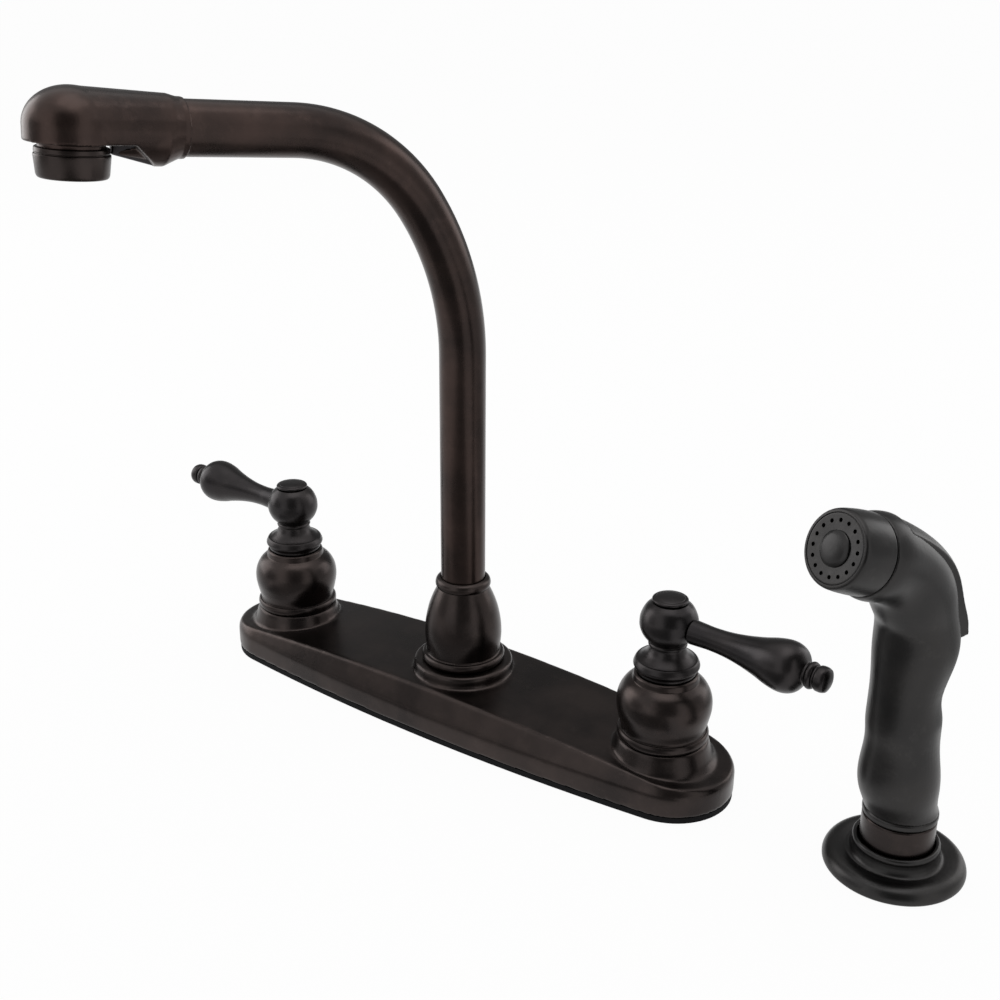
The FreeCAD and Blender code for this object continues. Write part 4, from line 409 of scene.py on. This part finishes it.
spout = {
    "swing": -111,
    "nut": [
        (14.15, 26.75), (17.5, 26.75, 0.5), (18.2, 27.7, "soft"), (18.2, 29.3, "soft"), (17.5, 30.3, 0.3),
        (16.5, 30.5, 0.2), (16.2, 31.0, 0.3), (16.4, 33.2, "soft"), (16.8, 37.0, "soft"),
        (16.9, 40.0, "soft"), (16.5, 45.0, "soft"), (15.3, 51.0, "soft"), (13.6, 56.0, "soft"),
        (11.7, 60.2, "soft"), (11.3, 61.0, 0.2), (11.1, 61.4, 0.2), (11.5, 61.6, 0.2),
        (12.0, 62.6, "soft"), (12.0, 63.8, "soft"), (11.6, 64.9, "soft"),
        (11.0, 65.5, 0.3), (10.3, 65.9, 0.3), (9.82, 65.9, 0.15), (9.82, 53.4), (12.3, 53.4), (12.3, 42.5),
        (14.15, 41.0),
    ],
    "radius": 9.6, "wall": 1.25, "foot": 51.9, "bendStart": 164.6,
    "sides": 72, "riseSteps": 10, "armSteps": 5,
    "bends": ((114.3, 33.4, 26), (67.8, 52.4, 34)),
    "arm": 37.6, "insertion": 10.0, "outlet": 40.6,
    "keel": {
        "heel": {"reach": 13.2, "half": 9.2, "low": -12.7}, "tip": {"reach": 27.9, "half": 3.4, "low": -9.0},
        "top": -4.0, "edge": 0.16, "bevel": 0.5,
    },
    "housing": [
        (11.15, -6.6), (11.7, -6.6, 0.2), (12.05, -6.9, 0.2), (12.15, -8.3, 0.15), (11.9, -8.5, 0.1),
        (11.9, -8.7, 0.1), (12.35, -8.9, 0.2), (12.35, -9.6), (11.8, -15.3), (11.45, -16.3, 0.5),
        (10.8, -16.6, 0.3), (9.4, -16.6, 0.3), (9.2, -16.4, 0.1), (9.2, -15.7), (11.15, -15.7),
    ],
}
nut = turnPiece("spoutNut", spout["nut"], 96, closed=True)
finishPiece(nut, "base", bronze, "dark_bronze", "spout_hub")

clearSelection()
bpy.ops.mesh.primitive_circle_add(
    vertices=spout["sides"], radius=spout["radius"] * mm, location=(0, 0, spout["foot"] * mm)
)
tube = bpy.context.object
tube.name = "spoutPipe"
bpy.ops.object.mode_set(mode="EDIT")
bpy.ops.mesh.select_all(action="SELECT")
rise = (spout["bendStart"] - spout["foot"]) * mm
for step in range(spout["riseSteps"]):
    bpy.ops.mesh.extrude_region_move(TRANSFORM_OT_translate={"value": (0, 0, rise / spout["riseSteps"])})
end, lean = Vector((0, 0, spout["bendStart"] * mm)), 0.0
for radius, angle, steps in spout["bends"]:
    inward = Vector((math.cos(lean), 0, -math.sin(lean)))
    centre = end + inward * radius * mm
    bpy.ops.mesh.spin(steps=steps, angle=-math.radians(angle), center=centre, axis=(0, 1, 0))
    lean += math.radians(angle)
    end = centre - Vector((math.cos(lean), 0, -math.sin(lean))) * radius * mm
along = Vector((math.sin(lean), 0, math.cos(lean)))
reach = along * (spout["arm"] + spout["insertion"]) / spout["armSteps"] * mm
for step in range(spout["armSteps"]):
    bpy.ops.mesh.extrude_region_move(TRANSFORM_OT_translate={"value": reach})
bpy.ops.mesh.select_all(action="SELECT")
bpy.ops.mesh.remove_doubles(threshold=weld)
bpy.ops.mesh.normals_make_consistent(inside=False)
bpy.ops.object.mode_set(mode="OBJECT")
armEnd = end + along * spout["arm"] * mm
swing = Matrix.Rotation(math.radians(spout["swing"]), 4, "Z")
settle(tube)
addModifier(tube, "SOLIDIFY", thickness=spout["wall"] * mm, offset=-1.0)
settle(smooth(tube, 40), swing)
finishPiece(tube, "spout", tubeBronze, "dark_bronze", "spout_tube")

tilt = Matrix.Rotation(lean - math.pi / 2, 4, "Y")
headPlace = swing @ Matrix.Translation(armEnd) @ tilt
head = castCopy("spout_head", "spoutHead", voxel=0.4, passes=4)
finishPiece(head, "spout", tubeBronze, "dark_bronze", "spout_head")

# the keel has no CAD node: it runs under the head, from its heel to just behind the aerator
heelEnd, tip = spout["keel"]["heel"], spout["keel"]["tip"]
keelTop = spout["keel"]["top"]
length, depth = tip["reach"] - heelEnd["reach"], keelTop - heelEnd["low"]
clearSelection()
bpy.ops.mesh.primitive_cube_add(size=mm)
keel = bpy.context.object
keel.name = "spoutKeel"
keel.scale = (length, 2 * heelEnd["half"], depth)
middleX = (heelEnd["reach"] + length / 2) * mm
middleZ = (keelTop - depth / 2) * mm
keel.location = (middleX, 0, middleZ)
settle(keel)
pickPoints(keel, lambda point: point.x > middleX)
bpy.ops.transform.resize(value=(1, tip["half"] / heelEnd["half"], 1))
pickPoints(keel, lambda point: point.x > middleX and point.z < middleZ)
bpy.ops.transform.translate(value=(0, 0, (tip["low"] - heelEnd["low"]) * mm))
pickPoints(keel, lambda point: point.z < middleZ)
bpy.ops.transform.resize(value=(1, spout["keel"]["edge"], 1))
bpy.ops.object.mode_set(mode="OBJECT")
addModifier(
    keel, "BEVEL", width=spout["keel"]["bevel"] * mm, segments=3,
    limit_method="ANGLE", angle_limit=math.radians(40),
)
settle(smooth(keel, 30), headPlace)
# the keel wears the lighter bronze, a painted reflection of the pale floor
finishPiece(keel, "spout", keelPaintedReflectionBronze, "dark_bronze")
housing = turnPiece("aeratorShell", spout["housing"], 72, closed=True)
settle(housing, headPlace @ Matrix.Translation((spout["outlet"] * mm, 0, 0)))
finishPiece(housing, "spout", bronze, "dark_bronze", "aerator_housing")
say("spout")

# deck plate

plate = castCopy("deck_plate", "deckPlate", voxel=0.7, passes=8)
finishPiece(plate, "base", bronze, "dark_bronze", "deck_plate")
say("plate")

# side sprayer and its deck holder

sprayer = {
    "place": (198.6, 6.5), "turn": -114,
    "holder": [
        (11.3, -40), (13.8, -40, 0.6), (13.8, 0), (25.7, 0, 0.3), (26.3, 0.9, "soft"), (26.1, 2.6, "soft"),
        (25.0, 4.4, "soft"), (23.2, 5.5, "soft"), (21.2, 5.75, "soft"), (19.2, 5.5, "soft"),
        (17.8, 5.35, "soft"), (16.7, 6.1, "soft"), (16.1, 7.8, "soft"), (15.95, 9.4, "soft"),
        (16.05, 10.6, "soft"), (15.75, 11.6, "soft"),
        (15.1, 12.0, 0.3), (14.3, 11.8, 0.2), (14.05, 11.0), (14.05, 2.9), (11.3, 2.9),
    ],
    "collar": [
        (7.95, 3.0), (13.2, 3.0, 0.3), (13.6, 3.4, 0.2), (13.6, 21.9, 0.3), (13.1, 22.4, 0.3), (7.95, 22.4),
    ],
    "ring": [
        (10.3, 22.6), (13.2, 22.6, 0.3), (13.75, 23.3, "soft"), (13.8, 24.1, "soft"), (13.7, 25.0, "soft"),
        (13.2, 25.6, 0.3), (10.3, 25.6),
    ],
    "seam": (34.8, 134.9), "rise": 19.8,
    "sleeve": [
        (11.9, 0.25), (13.8, 0.25, 0.3), (14.2, 0.8, 0.3), (14.2, 4.5, "soft"), (14.0, 8.5, "soft"),
        (13.6, 12.2, "soft"), (13.3, 13.4, "soft"), (12.8, 14.1, 0.5), (12.0, 14.15, 0.1), (11.9, 14.0, 0.05),
    ],
    "face": [
        (2.9, 12.4), (11.84, 12.4), (11.84, 13.95, 0.12), (11.4, 14.05, 0.1), (7.2, 13.95), (2.9, 13.9),
    ],
    "holes": {"count": 16, "circle": 9.4, "radius": 0.74, "drillDepth": 4, "drillHeight": 13},
    "button": [
        (0, 9.4), (2.6, 9.4), (2.6, 14.0), (6.1, 14.0, 0.1), (6.15, 14.35, 0.15), (5.9, 14.6, "soft"),
        (4.6, 15.15, "soft"), (2.6, 15.45, "soft"), (0, 15.55, "soft"),
    ],
}
spot = Matrix.Translation((sprayer["place"][0] * mm, sprayer["place"][1] * mm, 0))
holder = settle(turnPiece("sprayHolder", sprayer["holder"], 96, closed=True), spot)
finishPiece(holder, "base", sprayerBronze, "bronze_plastic", "sprayer_holder")
for name, node in (("collar", "spray_collar"), ("ring", "spray_ring")):
    piece = settle(turnPiece("spray" + name.title(), sprayer[name], 80, closed=True), spot)
    finishPiece(piece, "sprayer", bronze if name == "collar" else sprayerBronze, "dark_bronze", node)
facing = spot @ Matrix.Rotation(math.radians(sprayer["turn"]), 4, "Z")
seamX, seamZ = sprayer["seam"]
nozzle = facing @ Matrix.Translation((seamX * mm, 0, seamZ * mm))
nozzle = nozzle @ Matrix.Rotation(math.radians(90 - sprayer["rise"]), 4, "Y")
sleeve = settle(turnPiece("spraySleeve", sprayer["sleeve"], 80, closed=True), nozzle)
finishPiece(sleeve, "sprayer", sprayerBronze, "bronze_plastic", "spray_sleeve")
face = turnPiece("sprayFace", sprayer["face"], 80, closed=True)
drills = []
holes = sprayer["holes"]
for step in range(holes["count"]):
    angle = 2 * math.pi * (step + 0.5) / holes["count"]
    spotX = holes["circle"] * math.cos(angle) * mm
    spotY = holes["circle"] * math.sin(angle) * mm
    bpy.ops.mesh.primitive_cylinder_add(
        vertices=20, radius=holes["radius"] * mm, depth=holes["drillDepth"] * mm,
        location=(spotX, spotY, holes["drillHeight"] * mm),
    )
    drills.append(bpy.context.object)
clearSelection()
for drill in drills:
    drill.select_set(True)
bpy.context.view_layer.objects.active = drills[0]
bpy.ops.object.join()
drill = bpy.context.object
addModifier(face, "BOOLEAN", operation="DIFFERENCE", object=drill, solver="EXACT")
bpy.data.objects.remove(drill)
settle(smooth(face), nozzle)
finishPiece(face, "sprayer", sprayerBronze, "bronze_plastic", "spray_face")
button = settle(turnPiece("sprayButton", sprayer["button"], 64), nozzle)
finishPiece(button, "sprayer", sprayerBronze, "bronze_plastic", "spray_button")
grip = castCopy("spray_body", "sprayGrip", voxel=0.4, passes=4)
finishPiece(grip, "sprayer", sprayerBronze, "bronze_plastic", "spray_body")
thumb = castCopy("spray_trigger", "sprayThumbLever", voxel=0.4, passes=5)
finishPiece(thumb, "trigger", sprayerBronze, "bronze_plastic", "spray_trigger")
say("sprayer")

# the CAD nodes that stay get their finish

nodeFinish = {
    "black_gasket": gasketRubber, "rubber": sealRubber, "ceramic": ceramic, "brass": brass, "steel": steel,
    "white_plastic": whitePlastic, "dark_bronze": bronze, "bronze_plastic": sprayerBronze,
}
for entry in frame["record"]["subparts"]:
    node = nodes[entry["node"]]
    node.data.materials.clear()
    node.data.materials.append(nodeFinish[entry["material_slot"]])
say("small parts")

# studio: pale floor, soft lamps, grey cards that only show in the metal

lamps = {
    "left": {"place": (-1.5, -0.35, 0.6), "size": 1.1, "power": 7.5},
    "right": {"place": (0.9, 1.4, 0.65), "size": 1.1, "power": 5},
    "top": {"place": (0.1, 0.0, 1.8), "size": 1.2, "power": 5},
}
lampAim = (0.0, -0.03, 0.12)  # the standing cards face it too
cards = {
    # grey is how bright the metal sees each card
    "cameraCard": {"place": (0.72, -0.95, 0.6), "size": (1.2, 1.7), "grey": 0.16},
    "frontCard": {"place": (-0.80, -1.0, 0.25), "size": (0.8, 0.6), "grey": 0.40},
    "rightCard": {"place": (1.1, 0.55, 0.4), "size": (0.9, 0.8), "grey": 0.60},
    "backCard": {"place": (-0.72, 1.1, 0.55), "size": (2.8, 1.5), "grey": 0.26},
    # these three lie on the floor, turned as given
    "floorCard": {"place": (0.215, -0.436, 0.002), "size": (0.34, 0.75), "grey": 0.24, "turn": 35.75},
    "edgeCard": {"place": (-0.02, -0.095, 0.002), "size": (0.26, 0.10), "grey": 0.40, "turn": 0},
    "sideFloorCard": {"place": (0.30, 0.26, 0.002), "size": (0.36, 0.3), "grey": 0.50, "turn": 0},
}
floorLook = {
    "size": 60, "height": -0.0002,
    "colour": (0.9, 0.9, 0.9, 1), "rough": 0.9, "shine": 0.1, "glow": 0.96,
}
worldLevel = {"lit": 0.55, "seen": 1.0}


def stageLight(tree, share):
    # the share of plain white that the camera and the metal see; diffuse light sees the real surface
    path = tree.nodes.new("ShaderNodeLightPath")
    seen = tree.nodes.new("ShaderNodeMath")
    seen.operation = "ADD"
    seen.use_clamp = True
    glossy = tree.nodes.new("ShaderNodeMath")
    glossy.operation = "ADD"
    tree.links.new(path.outputs["Is Glossy Ray"], glossy.inputs[0])
    tree.links.new(path.outputs["Is Transmission Ray"], glossy.inputs[1])
    tree.links.new(path.outputs["Is Camera Ray"], seen.inputs[0])
    tree.links.new(glossy.outputs["Value"], seen.inputs[1])
    part = tree.nodes.new("ShaderNodeMath")
    part.operation = "MULTIPLY"
    part.inputs[1].default_value = share
    tree.links.new(seen.outputs["Value"], part.inputs[0])
    return part.outputs["Value"]


clearSelection()
bpy.ops.mesh.primitive_plane_add(size=floorLook["size"], location=(0, 0, floorLook["height"]))
floor = bpy.context.object
floor.name = "floor"
floorPaint, floorTree, floorShader = newMaterial("pale floor")
floorShader.inputs["Base Color"].default_value = floorLook["colour"]
floorShader.inputs["Roughness"].default_value = floorLook["rough"]
floorShader.inputs["Specular IOR Level"].default_value = floorLook["shine"]
glow = addNode(floorTree, "ShaderNodeEmission", Color=(1, 1, 1, 1), Strength=1.0)
blendNode = floorTree.nodes.new("ShaderNodeMixShader")
floorTree.links.new(stageLight(floorTree, floorLook["glow"]), blendNode.inputs["Fac"])
floorTree.links.new(floorShader.outputs["BSDF"], blendNode.inputs[1])
floorTree.links.new(glow.outputs["Emission"], blendNode.inputs[2])
floorTree.links.new(blendNode.outputs["Shader"], floorTree.nodes["Material Output"].inputs["Surface"])
floor.data.materials.append(floorPaint)

world = bpy.context.scene.world or bpy.data.worlds.new("studio")
bpy.context.scene.world = world
world.use_nodes = True
worldTree = world.node_tree
backdrop = worldTree.nodes["Background"]
backdrop.inputs["Color"].default_value = (1, 1, 1, 1)
level = worldTree.nodes.new("ShaderNodeMapRange")
level.inputs["To Min"].default_value = worldLevel["lit"]
level.inputs["To Max"].default_value = worldLevel["seen"]
worldTree.links.new(stageLight(worldTree, 1.0), level.inputs["Value"])
worldTree.links.new(level.outputs["Result"], backdrop.inputs["Strength"])

for name, lamp in lamps.items():
    data = bpy.data.lights.new(name, "AREA")
    data.energy = lamp["power"]
    data.size = lamp["size"]
    light = bpy.data.objects.new(name, data)
    bpy.context.scene.collection.objects.link(light)
    light.location = lamp["place"]
    aim = Vector(lampAim) - light.location
    light.rotation_euler = aim.to_track_quat("-Z", "Y").to_euler()

for name, card in cards.items():
    bpy.ops.mesh.primitive_plane_add(size=1, location=card["place"])
    panel = bpy.context.object
    panel.name = name
    panel.scale = (*card["size"], 1)
    facingWay = Vector(lampAim) - panel.location
    panel.rotation_euler = facingWay.to_track_quat("Z", "Y").to_euler()
    if "turn" in card:
        panel.rotation_euler = (0, 0, math.radians(card["turn"]))
    paint, tree, shader = newMaterial(name)
    shader.inputs["Base Color"].default_value = (0, 0, 0, 1)
    shader.inputs["Specular IOR Level"].default_value = 0
    shader.inputs["Emission Color"].default_value = (1, 1, 1, 1)
    shader.inputs["Emission Strength"].default_value = card["grey"]
    panel.data.materials.append(paint)
    panel.visible_camera = False
    panel.visible_shadow = False
    panel.visible_diffuse = False

camera = {
    "azimuth": 35.75, "elevation": 21.842, "roll": 0.475, "place": (321.55, -419.66, 313.22),
    "focal": 1337.52, "picture": 1000,  # both in pixels
    "sensor": 36,
}
azimuth, elevation, roll = (math.radians(camera[key]) for key in ("azimuth", "elevation", "roll"))
back = Vector((
    math.sin(azimuth) * math.cos(elevation), -math.cos(azimuth) * math.cos(elevation), math.sin(elevation)
))
right = Vector((math.cos(azimuth), math.sin(azimuth), 0))
up = back.cross(right)
rightRolled = right * math.cos(roll) + up * math.sin(roll)
upRolled = up * math.cos(roll) - right * math.sin(roll)
data = bpy.data.cameras.new("camera")
data.sensor_width = camera["sensor"]
data.lens = camera["focal"] * camera["sensor"] / camera["picture"]
data.clip_start = 0.01
data.clip_end = 100
view = bpy.data.objects.new("camera", data)
bpy.context.scene.collection.objects.link(view)
turned = Matrix((rightRolled, upRolled, back)).transposed().to_4x4()
view.matrix_world = Matrix.Translation(Vector(camera["place"]) * mm) @ turned
bpy.context.scene.camera = view
bpy.context.scene.view_settings.view_transform = "Standard"
say("studio")
